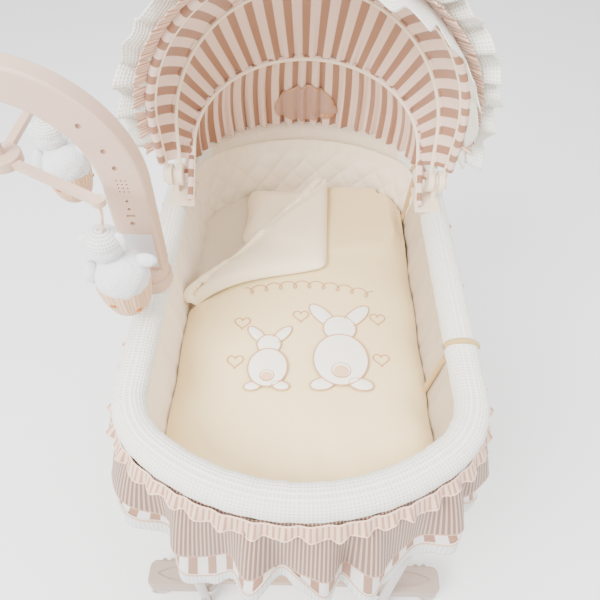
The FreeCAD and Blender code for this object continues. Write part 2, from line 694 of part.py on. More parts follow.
def build_mobile():
    post = Vector(size("post_x"), size("post_y"), size("rim_top"))
    base = Part.makeCylinder(size("base_radius"), size("base_height"), post)
    base = base.makeFillet(3, [base.Edges[0]])
    pin_high = size("base_height") + size("collar_height") - 3
    spigot = Part.makeCylinder(size("post_radius"), pin_high, post)
    finish(feature("mobile_base_ring", base.fuse(spigot)), "mobile_base")

    collar_low = post + Vector(0, 0, size("base_height") + 0.4)
    collar = Part.makeCylinder(size("collar_radius"), size("collar_height"), collar_low)
    collar = collar.makeFillet(3, [collar.Edges[0]])
    bore = Part.makeCylinder(size("post_radius") + size("pivot_gap"),
                             size("collar_height") - 2, collar_low)
    finish(feature("mobile_collar_ring", collar.cut(bore)), "mobile_collar")

    half = size("arm_thick") / 2
    arm_low = collar_low.z + size("collar_height")
    for side, way in (("rear", -1), ("front", 1)):
        shell = arm_shell(arm_low, way)
        if way == -1:
            shell = shell.cut(rear_openings(arm_low))
            panel = light_panel()
            shell = shell.cut(panel)
            finish(feature("panel_glow", panel), "night_light_panel")
        else:
            shell = shell.cut(button_disc(size("button_radius") + 0.3, half + 1,
                                          size("button_room")))
        finish(feature("arm_" + side, shell), f"mobile_arm_{side}_shell")
    finish(feature("button_disc", button_disc(size("button_radius"),
                                              half + size("button_proud"))), "play_button")

    hub = Vector(hub_x, size("post_y"), size("hub_z"))
    disc = Part.makeCylinder(size("hub_disc_radius"), size("hub_disc_thick"), hub)
    disc = disc.makeFillet(3, [edge for edge in disc.Edges
                               if isinstance(edge.Curve, Part.Circle)])
    arm_under = size("arm_bend_z") + size("arm_bend") - size("arm_tip_wide") / 2
    stem = Part.makeCylinder(size("hub_stem_radius"), arm_under - 0.4 - hub.z, hub)
    pin = Part.makeCylinder(size("axle_radius"), arm_under + 18 - hub.z, hub)
    branches = [branch(hub, index) for index in range(3)]
    finish(feature("hub_turner", disc.fuse([stem, pin]).cut(branches)), "mobile_hub")
    finish(feature("branch_star", Part.makeCompound(branches)), "mobile_branches")
    for index in range(3):
        plush, cone = toy(toy_centre(index), size("toy_first_angle") + 120 * index)
        finish(feature(f"plush_{index + 1}", plush), f"toy_{index + 1}_plush")
        finish(feature(f"cone_{index + 1}", cone), f"toy_{index + 1}_cone")


def arm_shell(low, way):
    """Half of the cane-shaped arm, split down its middle plane."""
    x = size("post_x")
    wide = size("arm_wide") / 2
    tip = size("arm_tip_wide") / 2
    bend_z = size("arm_bend_z")
    bend = size("arm_bend")
    end = Vector(x - size("hub_reach"), 0, bend_z + bend)
    centre_x = x - bend
    slant = math.sqrt(0.5)

    def bend_arc(half):
        """The outer (half > 0) or inner bend, an almost circular quarter."""
        start = Vector(x + half * wide, 0, bend_z)
        stop = Vector(centre_x, 0, bend_z + bend + half * tip)
        across = start.x - centre_x
        up = stop.z - bend_z
        middle = Vector(centre_x + across * slant, 0, bend_z + up * slant)
        return start, middle, stop

    outer = bend_arc(1)
    inner = bend_arc(-1)
    outline_edges = [
        Part.LineSegment(Vector(x + wide, 0, low), outer[0]),
        Part.Arc(*outer),
        Part.LineSegment(outer[2], Vector(end.x, 0, end.z + tip)),
        Part.Arc(Vector(end.x, 0, end.z + tip), Vector(end.x - tip, 0, end.z),
                 Vector(end.x, 0, end.z - tip)),
        Part.LineSegment(Vector(end.x, 0, end.z - tip), inner[2]),
        Part.Arc(inner[2], inner[1], inner[0]),
        Part.LineSegment(inner[0], Vector(x - wide, 0, low)),
        Part.LineSegment(Vector(x - wide, 0, low), Vector(x + wide, 0, low)),
    ]
    profile = Part.Face(Part.Wire([curve.toShape() for curve in outline_edges]))
    half = size("arm_thick") / 2
    shell = profile.extrude(Vector(0, way * half, 0))
    face_edges = [edge for edge in shell.Edges
                  if abs(edge.CenterOfMass.y - way * half) < 0.01
                  and edge.CenterOfMass.z > low + 1]
    shell = shell.makeFillet(size("arm_round"), face_edges)
    pin_hole = Part.makeCylinder(size("axle_radius") + size("pivot_gap"), 20,
                                 Vector(end.x, 0, end.z - tip - 1))
    return shell.cut(pin_hole).translated(Vector(0, size("post_y"), 0))


def arm_point(z):
    """A point on the arm's middle line at height z, on its rear face."""
    rise = max(0, z - size("arm_bend_z"))
    centre_x = size("post_x") - size("arm_bend")
    x = centre_x + math.sqrt(size("arm_bend") ** 2 - rise ** 2)
    return Vector(x, size("post_y") - size("arm_thick") / 2, z)


def rear_openings(low):
    """Screw recesses, sound holes and a switch slot in the rear shell."""
    inwards = Vector(0, 1, 0)
    tools = []
    for z in (1045, 1010, 985, 892):
        tools.append(Part.makeCylinder(4, 4, arm_point(z), inwards))
    for row in range(4):
        for column in range(3):
            at = arm_point(948 + 6 * row) + Vector(6 * (column - 1), 0, 0)
            tools.append(Part.makeCylinder(1.2, 5, at, inwards))
    tools.append(Part.makeCylinder(2.2, 5, arm_point(932), inwards))
    tools.append(Part.makeCylinder(2.2, 5, arm_point(918), inwards))
    slot = arm_point(906)
    tools.append(Part.makeBox(12, 5, 4, slot + Vector(-6, 0, -2)))
    return tools


def light_panel():
    """The translucent night-light window at the foot of the rear shell."""
    wide = size("panel_wide")
    face_y = size("post_y") - size("arm_thick") / 2
    return Part.makeBox(wide, size("panel_depth"), size("panel_high"), Vector(
        size("post_x") - wide / 2, face_y, size("panel_bottom")))


def button_disc(radius, reach, room=0):
    """The round play button on the front shell, out to reach from the split plane."""
    depth = size("button_depth") + room
    half = size("arm_thick") / 2
    start = Vector(size("post_x"), size("post_y") + half - depth, size("button_z"))
    return Part.makeCylinder(radius, reach - half + depth, start, Vector(0, 1, 0))


def toy_direction(index):
    angle = math.radians(size("toy_first_angle") + 120 * index)
    return Vector(math.cos(angle), math.sin(angle), 0)


def toy_centre(index):
    """The place of one toy under the end of its branch."""
    return Vector(hub_x, size("post_y"), 0) + toy_direction(index) * size("branch_reach")


def branch(hub, index):
    """One flat arm of the hub, with a round end."""
    wide = size("branch_wide")
    thick = size("branch_thick")
    start = 14
    bar = Part.makeBox(size("branch_reach") - start, wide, thick, Vector(start, -wide / 2, 0))
    end = Part.makeCylinder(wide / 2 + 3, thick, Vector(size("branch_reach"), 0, 0))
    pocket_long = size("barrel_long") + 3 * size("barrel_gap")
    pocket = Part.makeCylinder(size("barrel_radius") + size("barrel_gap"), pocket_long, Vector(
        size("branch_reach"), -pocket_long / 2, size("barrel_lift")), Vector(0, 1, 0))
    arm = bar.fuse(end).cut(pocket)
    arm.rotate(Vector(0, 0, 0), Vector(0, 0, 1), size("toy_first_angle") + 120 * index)
    return arm.translated(hub + Vector(0, 0, 4))


def toy(centre, turn):
    """A plush ball with a head on a short tab, a barrel on top, and the cone below."""
    at = Vector(centre.x, centre.y, 0)
    plush = Part.makeSphere(size("plush_radius"), at + Vector(0, 0, size("toy_z")))
    head = Part.makeSphere(size("toy_head_radius"), at + Vector(0, 0, size("toy_head_z")))
    tab_low = size("toy_head_z") + size("toy_head_radius") - 3
    axis_z = size("hub_z") + 4 + size("barrel_lift")
    tab = Part.makeBox(size("tab_thick"), size("tab_wide"), axis_z - tab_low, Vector(
        -size("tab_thick") / 2, -size("tab_wide") / 2, tab_low))
    barrel = Part.makeCylinder(size("barrel_radius"), size("barrel_long"), Vector(
        0, -size("barrel_long") / 2, axis_z), Vector(0, 1, 0))
    hanger = tab.fuse(barrel)
    hanger.rotate(Vector(0, 0, 0), Vector(0, 0, 1), turn)
    cone = Part.makeCone(size("cone_foot_radius"), size("cone_top_radius") - 0.5,
                         size("cone_top_z") - size("cone_foot_z"),
                         at + Vector(0, 0, size("cone_foot_z")))
    body = plush.fuse([head, hanger.translated(at)])
    return body, cone.cut(plush)


# ---------------------------------------------------------------- checks and files

def check_and_write():
    doc.recompute()
    failed = [item.Label for item in doc.Objects
              if "Invalid" in item.State or "Error" in item.State]
    for item in SUBPARTS:
        if item.Shape.isNull() or not item.Shape.isValid() or not item.Shape.Solids:
            failed.append(item.Label)
    if failed:
        raise RuntimeError("not built: " + ", ".join(sorted(set(failed))))
    for item in SUBPARTS:
        item.Shape.exportStep(os.path.join("parts", item.Label + ".step"))
        print(f"{item.Label}: {len(item.Shape.Solids)} solids, "
              f"{item.Shape.Volume / 1000:.1f} cm3")
    print(len(SUBPARTS), "sub-parts")


build_stand()
build_casters()
build_basket()
build_hood()
build_mobile()
check_and_write()
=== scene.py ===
import json
import math

import bpy
import numpy as np
from mathutils import Matrix, Vector
from mathutils.bvhtree import BVHTree


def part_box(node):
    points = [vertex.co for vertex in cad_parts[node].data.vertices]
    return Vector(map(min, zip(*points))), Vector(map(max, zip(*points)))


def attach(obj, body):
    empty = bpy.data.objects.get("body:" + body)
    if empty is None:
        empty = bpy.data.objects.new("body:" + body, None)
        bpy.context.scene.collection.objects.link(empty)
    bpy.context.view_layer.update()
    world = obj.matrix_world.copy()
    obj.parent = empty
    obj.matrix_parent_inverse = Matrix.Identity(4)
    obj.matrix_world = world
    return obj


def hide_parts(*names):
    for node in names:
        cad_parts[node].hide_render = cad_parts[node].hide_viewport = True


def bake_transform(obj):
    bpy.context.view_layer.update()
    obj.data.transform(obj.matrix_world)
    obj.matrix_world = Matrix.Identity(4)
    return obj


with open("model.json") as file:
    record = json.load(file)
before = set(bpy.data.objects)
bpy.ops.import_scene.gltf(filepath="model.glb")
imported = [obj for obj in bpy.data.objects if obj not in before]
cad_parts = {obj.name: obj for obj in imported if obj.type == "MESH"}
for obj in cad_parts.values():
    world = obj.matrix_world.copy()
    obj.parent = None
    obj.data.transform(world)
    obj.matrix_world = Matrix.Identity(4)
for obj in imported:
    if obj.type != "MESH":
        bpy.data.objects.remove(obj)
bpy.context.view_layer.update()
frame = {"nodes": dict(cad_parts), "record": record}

# A padded bassinet with a frilled skirt, hood, bedding and toy mobile on a wheeled stand.
# All lengths are in metres. Cloth shapes are written about the middle of the basket, whose
# place comes from the frame, and move to the row frame as their meshes are made.

NODES = frame["nodes"]

ROLL_LOW, ROLL_HIGH = (Vector(corner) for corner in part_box("rim_roll"))
CENTRE = Vector(((ROLL_LOW.x + ROLL_HIGH.x) / 2, (ROLL_LOW.y + ROLL_HIGH.y) / 2, 0))
HALF_WIDTH = (ROLL_HIGH.x - ROLL_LOW.x) / 2
HALF_LENGTH = (ROLL_HIGH.y - ROLL_LOW.y) / 2
RIM_TOP = ROLL_HIGH.z
END_RADIUS = 0.340
CORNER_RADIUS = 0.135
ROLL_INSET = 0.024
ROLL_DROP = 0.018
SKIRT_CLOTH = 0.0012
HOOD_CLOTH = 0.0014
CORNER_X = HALF_WIDTH - CORNER_RADIUS
END_Y = HALF_LENGTH - END_RADIUS
CORNER_Y = END_Y + math.sqrt((END_RADIUS - CORNER_RADIUS) ** 2 - CORNER_X ** 2)
CORNER_TURN = math.atan2(CORNER_Y - END_Y, CORNER_X)
BED_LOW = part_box("mattress")[1][2]
KNOB_LOW, KNOB_HIGH = (Vector(corner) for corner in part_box("hood_knobs"))
PIVOT = Vector((0, (KNOB_LOW.y + KNOB_HIGH.y) / 2 - CENTRE.y, (KNOB_LOW.z + KNOB_HIGH.z) / 2))


# ---------------------------------------------------------------- basket outline

def run_lengths(line):
    """Distances along a line of points, from its start."""
    return np.concatenate([[0], np.cumsum(np.linalg.norm(np.diff(line, axis=0), axis=1))])


def sampled_outline(step=0.001):
    """Points, outward normals and arc lengths round the rim, from the foot's middle."""
    x, y, small, turn = CORNER_X, CORNER_Y, CORNER_RADIUS, CORNER_TURN
    pi = math.pi
    arcs = [
        (0, -END_Y, END_RADIUS, -pi / 2, -turn), (x, -y, small, -turn, 0), None,
        (x, y, small, 0, turn), (0, END_Y, END_RADIUS, turn, pi - turn),
        (-x, y, small, pi - turn, pi), None,
        (-x, -y, small, pi, pi + turn), (0, -END_Y, END_RADIUS, pi + turn, 1.5 * pi),
    ]
    points, normals = [], []
    side = 1
    for arc in arcs:
        if arc is None:
            for along in np.linspace(-side * y, side * y, int(2 * y / step), endpoint=False):
                points.append((side * HALF_WIDTH, along))
                normals.append((side, 0))
            side = -side
            continue
        centre_x, centre_y, radius, start, stop = arc
        count = int(radius * (stop - start) / step)
        for angle in np.linspace(start, stop, count, endpoint=False):
            nx, ny = math.cos(angle), math.sin(angle)
            points.append((centre_x + radius * nx, centre_y + radius * ny))
            normals.append((nx, ny))
    points = np.array(points + points[:1])
    return points, np.array(normals + normals[:1]), run_lengths(points)


OUT_POINTS, OUT_NORMALS, OUT_LENGTHS = sampled_outline()
AROUND = OUT_LENGTHS[-1]


def round_rim(along, outset):
    """x and y at a distance along the rim, moved outwards by outset."""
    along = np.mod(along, AROUND)
    x, y, nx, ny = (np.interp(along, OUT_LENGTHS, values)
                    for values in (*OUT_POINTS.T, *OUT_NORMALS.T))
    return x + nx * outset, y + ny * outset


def inner_half_width(y, inset):
    """Half the basket's width at y, inside the outline moved inwards by inset."""
    y = np.abs(y)
    end = END_RADIUS - inset
    corner = CORNER_RADIUS - inset
    join_y = END_Y + end * math.sin(CORNER_TURN)
    in_end = np.sqrt(np.clip(end ** 2 - (y - END_Y) ** 2, 0, None))
    in_corner = CORNER_X + np.sqrt(np.clip(corner ** 2 - (y - CORNER_Y) ** 2, 0, None))
    return np.where(y > join_y, in_end, np.where(y > CORNER_Y, in_corner, HALF_WIDTH - inset))


# ---------------------------------------------------------------- mesh helpers

def stack(*parts):
    """Arrays that broadcast together, side by side on a new last axis."""
    return np.stack(np.broadcast_arrays(*parts), axis=-1)


def shares(rows, columns, last=1):
    """A column and a row of numbers from 0 to 1, to run down and along a grid."""
    return np.linspace(0, 1, rows)[:, None], np.linspace(0, last, columns)[None, :]


def box_of(node):
    """The low and high corners of a CAD node, about the basket's middle."""
    return (Vector(corner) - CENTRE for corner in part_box(node))


def add_object(name, vertices, faces, loop_uvs, material, body=None):
    """A smooth mesh object, moved from the basket's middle to the row frame."""
    mesh = bpy.data.meshes.new(name)
    mesh.from_pydata((vertices + np.array(CENTRE)).tolist(), [], faces)
    layer = mesh.uv_layers.new(name="UVMap")
    layer.data.foreach_set("uv", np.asarray(loop_uvs, np.float32).ravel())
    mesh.polygons.foreach_set("use_smooth", [True] * len(mesh.polygons))
    mesh.materials.append(material)
    piece = bpy.data.objects.new(name, mesh)
    bpy.context.scene.collection.objects.link(piece)
    if body:
        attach(piece, body)
    return piece


def squares(points, uvs, closed, rolled, down_first=False):
    """Vertices, faces and UVs of a grid. closed joins its columns and rolled its rows;
    down_first winds each face the other way."""
    rows, columns = points.shape[:2]
    used_rows, used = rows - rolled, columns - closed
    row, column = (part.ravel() for part in np.mgrid[:rows - 1, :columns - 1])
    corners = [(row, column), (row, column + 1), (row + 1, column + 1), (row + 1, column)]
    if down_first:
        corners[1], corners[3] = corners[3], corners[1]
    faces = np.stack([r % used_rows * used + c % used for r, c in corners], axis=1)
    loops = np.stack([uvs[r, c] for r, c in corners], axis=1)
    return points[:used_rows, :used].reshape(-1, 3), faces.tolist(), loops.reshape(-1, 2)


def grid(name, points, uvs, key, body=None, closed=False, rolled=False):
    """A sheet from rows x columns of points."""
    return add_object(name, *squares(points, uvs, closed, rolled), M[key], body)


def freeze(piece):
    """Apply a piece's modifiers to its mesh."""
    bpy.context.view_layer.update()
    graph = bpy.context.evaluated_depsgraph_get()
    mesh = bpy.data.meshes.new_from_object(piece.evaluated_get(graph))
    old = piece.data
    piece.modifiers.clear()
    piece.data = mesh
    bpy.data.meshes.remove(old)
    return piece


def thicken(piece, thickness, offset=0.0):
    """Give a sheet its thickness, kept in the mesh."""
    solid = piece.modifiers.new("thickness", "SOLIDIFY")
    solid.thickness = thickness
    solid.offset = offset
    return freeze(piece)


def tube(name, line, radius, key, body, closed=False, sides=10, flat=1.0):
    """A round or flattened cord of stitching, piping or tape along a line of points."""
    line = np.asarray(line, float)
    if closed:
        ahead = np.roll(line, -1, axis=0) - np.roll(line, 1, axis=0)
    else:
        ahead = np.gradient(line, axis=0)
    ahead /= np.linalg.norm(ahead, axis=1)[:, None] + 1e-12
    across = np.cross(ahead, np.array([0.0, 0.0, 1.0]))
    weak = np.linalg.norm(across, axis=1) < 0.2
    across[weak] = np.cross(ahead[weak], np.array([1.0, 0.0, 0.0]))
    across /= np.linalg.norm(across, axis=1)[:, None]
    lift = np.cross(across, ahead)
    angles = np.linspace(0, 2 * math.pi, sides + 1)[None, :, None]
    points = (line[:, None] + radius * np.cos(angles) * across[:, None]
              + radius * flat * np.sin(angles) * lift[:, None])
    lengths = run_lengths(line)
    if closed:
        points = np.concatenate([points, points[:1]])
        lengths = np.append(lengths, lengths[-1] + 0.01)
    uvs = stack(lengths[:, None], 0.001 * np.arange(sides + 1)[None, :])
    vertices, faces, loops = squares(points, uvs, True, closed, down_first=True)
    if not closed:
        first = list(range(sides))
        faces += [first, [len(vertices) - 1 - side for side in first]]
        loops = np.concatenate([loops, np.zeros((2 * sides, 2))])
    add_object(name, vertices, faces, loops, M[key], body)


def pad(name, left, right, ends, top, bottom, key, counts=(70, 60)):
    """A closed pad in the basket: y runs between ends, x between left(y) and right(y)."""
    rows, columns = counts
    v = 0.5 - 0.5 * np.cos(np.linspace(0, math.pi, rows))
    u = 0.5 - 0.5 * np.cos(np.linspace(0, math.pi, columns))
    y = (ends[0] + (ends[1] - ends[0]) * v)[:, None] + np.zeros((rows, columns))
    low = left(y[:, 0])[:, None]
    high = right(y[:, 0])[:, None]
    x = low + (high - low) * u[None, :]
    edge = np.minimum(np.minimum(x - low, high - x), np.minimum(y - ends[0], ends[1] - y))
    vertices = np.concatenate([stack(x, y, surface(x, y, edge)).reshape(-1, 3)
                               for surface in (top, bottom)])
    size = rows * columns
    up, down = np.arange(2 * size).reshape(2, rows, columns)
    quads = stack(up[:-1, :-1], up[:-1, 1:], up[1:, 1:], up[1:, :-1]).reshape(-1, 4)

    def wall(edge, other):
        return stack(edge[:-1], other[:-1], other[1:], edge[1:])

    faces = np.concatenate([np.stack(pair, axis=1).reshape(-1, 4) for pair in (
        (quads, quads[:, ::-1] + size),
        (wall(down[:, 0], up[:, 0]), wall(up[:, -1], down[:, -1])),
        (wall(up[0], down[0]), wall(down[-1], up[-1])),
    )])
    uvs = vertices[faces.ravel(), :2]
    return add_object(name, vertices, faces.tolist(), uvs, M[key], "basket")


def dress(piece, body=None, node=None):
    """Attach a piece to its body and hide the CAD node it stands for."""
    if body:
        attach(piece, body)
    if node:
        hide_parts(node)


def inflate(piece, voxel, cap, lowest, highest):
    """Swell a pad by cloth simulation under pressure, within cap of where it started."""
    remesh = piece.modifiers.new("remesh", "REMESH")
    remesh.mode = "VOXEL"
    remesh.voxel_size = voxel
    remesh.use_smooth_shade = True
    material = piece.data.materials[0]
    freeze(piece)
    if not piece.data.materials:
        piece.data.materials.append(material)
    count = len(piece.data.vertices)
    start = np.empty(count * 3, np.float32)
    piece.data.vertices.foreach_get("co", start)
    start = start.reshape(-1, 3)
    cloth = piece.modifiers.new("cloth", "CLOTH")
    cloth.settings.quality = 5
    cloth.settings.mass = 0.25
    cloth.settings.tension_stiffness = 18
    cloth.settings.compression_stiffness = 18
    cloth.settings.bending_stiffness = 0.6
    cloth.settings.use_pressure = True
    cloth.settings.uniform_pressure_force = 4.0
    cloth.settings.effector_weights.gravity = 0.0
    cloth.collision_settings.use_collision = False
    cloth.collision_settings.use_self_collision = False
    cloth.point_cache.frame_start = 1
    cloth.point_cache.frame_end = 20
    scene = bpy.context.scene
    for number in range(1, 21):
        scene.frame_set(number)
    graph = bpy.context.evaluated_depsgraph_get()
    moved = np.empty(count * 3, np.float32)
    piece.evaluated_get(graph).data.vertices.foreach_get("co", moved)
    step = moved.reshape(-1, 3) - start
    length = np.linalg.norm(step, axis=1, keepdims=True)
    step = step * (cap * np.tanh(length / cap) / np.maximum(length, 1e-9))
    final = start + step
    final[:, 2] = np.clip(final[:, 2], lowest, highest)
    piece.modifiers.clear()
    piece.data.vertices.foreach_set("co", final.ravel())
    piece.data.update()
    scene.frame_set(1)
    smooth = piece.modifiers.new("smooth", "SUBSURF")
    smooth.levels = 1
    freeze(piece)
    piece.data.polygons.foreach_set("use_smooth", [True] * len(piece.data.polygons))


# ---------------------------------------------------------------- materials

def srgb(red, green, blue, boost=1.45):
    """An 8-bit sRGB colour as linear red, green, blue and 1, with its hue made stronger."""
    def linear(value):
        value /= 255
        return value / 12.92 if value <= 0.04045 else ((value + 0.055) / 1.055) ** 2.4
    tones = [linear(value) for value in (red, green, blue)]
    grey = sum(tones) / 3
    return tuple(min(0.97, max(0.01, grey + (tone - grey) * boost)) for tone in tones) + (1,)


class Shade:
    """A material's node tree with short calls for the nodes used here."""

    def __init__(self, name, roughness, sheen=0.0, metallic=0.0, coat=0.0, subsurface=0.0):
        self.material = bpy.data.materials.new(name)
        self.material.use_nodes = True
        self.nodes = self.material.node_tree.nodes
        self.links = self.material.node_tree.links
        self.shader = self.nodes["Principled BSDF"]
        self.shader.inputs["Roughness"].default_value = roughness
        self.shader.inputs["Metallic"].default_value = metallic
        self.shader.inputs["Sheen Weight"].default_value = sheen
        self.shader.inputs["Sheen Roughness"].default_value = 0.5
        self.shader.inputs["Coat Weight"].default_value = coat
        self.shader.inputs["Coat Roughness"].default_value = 0.25
        self.shader.inputs["Subsurface Weight"].default_value = subsurface
        self.shader.inputs["Subsurface Radius"].default_value = (0.006, 0.005, 0.004)
        coordinates = self.nodes.new("ShaderNodeTexCoord")
        self.uv = coordinates.outputs["UV"]
        self.place = coordinates.outputs["Object"]

    def put(self, socket, value):
        if isinstance(value, bpy.types.NodeSocket):
            self.links.new(value, socket)
        else:
            socket.default_value = value

    def math(self, operation, first, second=0.0, clamp=False):
        node = self.nodes.new("ShaderNodeMath")
        node.operation = operation
        node.use_clamp = clamp
        self.put(node.inputs[0], first)
        self.put(node.inputs[1], second)
        return node.outputs[0]

    def mix(self, factor, first, second):
        node = self.nodes.new("ShaderNodeMix")
        node.data_type = "RGBA"
        self.put(node.inputs["Factor"], factor)
        self.put(node.inputs["A"], first)
        self.put(node.inputs["B"], second)
        return node.outputs["Result"]

    def noise(self, scale, detail, roughness=0.55):
        node = self.nodes.new("ShaderNodeTexNoise")
        node.inputs["Scale"].default_value = scale
        node.inputs["Detail"].default_value = detail
        node.inputs["Roughness"].default_value = roughness
        self.links.new(self.place, node.inputs["Vector"])
        return node.outputs["Fac"]

    def axis(self, index, where=None):
        node = self.nodes.new("ShaderNodeSeparateXYZ")
        self.links.new(where or self.uv, node.inputs[0])
        return node.outputs[index]

    def wave(self, index, period, where=None):
        """A cosine from 0 to 1 along one coordinate."""
        turns = self.math("MULTIPLY", self.axis(index, where), 2 * math.pi / period)
        return self.math("ADD", self.math("MULTIPLY", self.math("COSINE", turns), 0.5), 0.5)

    def step(self, value, threshold, soft):
        """0 to 1 as a value passes a threshold."""
        return self.math("DIVIDE", self.math("SUBTRACT", value, threshold - soft / 2), soft,
                         clamp=True)

    def colour(self, value):
        self.put(self.shader.inputs["Base Color"], value)

    def bump(self, height, strength, distance):
        node = self.nodes.new("ShaderNodeBump")
        node.inputs["Strength"].default_value = strength
        node.inputs["Distance"].default_value = distance
        self.links.new(height, node.inputs["Height"])
        self.links.new(node.outputs["Normal"], self.shader.inputs["Normal"])


def darker(colour, share):
    return tuple(tone * share for tone in colour[:3]) + (1,)


def varied(shade, colour, dark, scale=9.0):
    """A cloth colour with faint broad clouds of a darker tone."""
    cloud = shade.noise(scale, 2.0)
    return shade.mix(shade.math("MULTIPLY", cloud, 0.5), colour, dark)


def weave(shade, pitch, where=None):
    """A plain weave's height, from two crossing sets of threads."""
    return shade.math("MULTIPLY", shade.wave(0, pitch, where), shade.wave(1, pitch, where))


def striped_cloth(name, light, dark, period, share):
    shade = Shade(name, 0.85, sheen=0.25)
    band = shade.step(shade.wave(0, period), 0.5 + 0.5 * math.cos(math.pi * share), 0.12)
    light_tone = varied(shade, light, darker(light, 0.93))
    dark_tone = varied(shade, dark, darker(dark, 0.85), 14)
    shade.colour(shade.mix(band, light_tone, dark_tone))
    fine = shade.math("ADD", weave(shade, 0.0011), shade.math(
        "MULTIPLY", shade.noise(60, 3), 2.0))
    shade.bump(fine, 0.35, 0.0006)
    return shade.material


def waffle_cloth(name, colour, shadow, cell=0.0052):
    shade = Shade(name, 0.9, sheen=0.3)
    ridge = shade.math("MAXIMUM", shade.wave(0, cell), shade.wave(1, cell))
    ridge = shade.math("POWER", ridge, 1.6)
    shade.colour(shade.mix(ridge, shadow, varied(shade, colour, shadow, 20)))
    thread = shade.math("MULTIPLY", shade.noise(900, 2), 0.25)
    shade.bump(shade.math("ADD", ridge, thread), 0.75, 0.0016)
    return shade.material


def satin_cloth(name, colour, shadow):
    shade = Shade(name, 0.55, sheen=0.35, subsurface=0.05)
    shade.colour(varied(shade, colour, shadow, 5))
    soft = shade.math("ADD", shade.math("MULTIPLY", shade.noise(22, 4), 1.6),
                      shade.math("MULTIPLY", weave(shade, 0.0009, shade.place), 0.05))
    shade.bump(soft, 0.22, 0.003)
    return shade.material


def plain_cloth(name, colour, shadow, pitch=0.0014):
    shade = Shade(name, 0.9, sheen=0.25)
    shade.colour(varied(shade, colour, shadow, 12))
    shade.bump(shade.math("ADD", weave(shade, pitch), shade.math(
        "MULTIPLY", shade.noise(80, 3), 1.5)), 0.4, 0.0007)
    return shade.material


def moulded(name, colour, roughness=0.42, coat=0.0, grain=900.0, depth=0.12, metallic=0.0):
    """A moulded or powder-coated surface with fine grain and slight tone changes."""
    shade = Shade(name, roughness, coat=coat, metallic=metallic)
    shade.colour(varied(shade, colour, darker(colour, 0.86), 7))
    rough = shade.math("ADD", shade.math("MULTIPLY", shade.noise(25, 3), 0.16),
                       roughness - 0.08)
    shade.put(shade.shader.inputs["Roughness"], rough)
    shade.bump(shade.noise(grain, 2), depth, 0.0004)
    return shade.material


def plush_cloth(name, colour, shadow):
    shade = Shade(name, 1.0, sheen=0.6, subsurface=0.08)
    tuft = shade.noise(260, 5, roughness=0.7)
    shade.colour(shade.mix(tuft, shadow, colour))
    shade.bump(tuft, 1.0, 0.004)
    return shade.material


def knit_cloth(name, colour, shadow):
    shade = Shade(name, 0.95, sheen=0.4)
    ribs = shade.wave(0, 0.0048)
    rows = shade.wave(1, 0.0042)
    loop = shade.math("MAXIMUM", shade.math("MULTIPLY", ribs, rows),
                      shade.math("MULTIPLY", ribs, 0.5))
    shade.colour(shade.mix(loop, shadow, colour))
    shade.bump(loop, 0.9, 0.0018)
    return shade.material


def mesh_cloth(name, colour, shadow):
    """A fine dotted net, as on the side wall of the lining."""
    shade = Shade(name, 0.85, sheen=0.2)
    dots = shade.math("MULTIPLY", shade.wave(0, 0.0045), shade.wave(1, 0.0045))
    dots = shade.step(dots, 0.55, 0.3)
    shade.colour(shade.mix(dots, colour, shadow))
    shade.bump(dots, 0.35, 0.0006)
    return shade.material


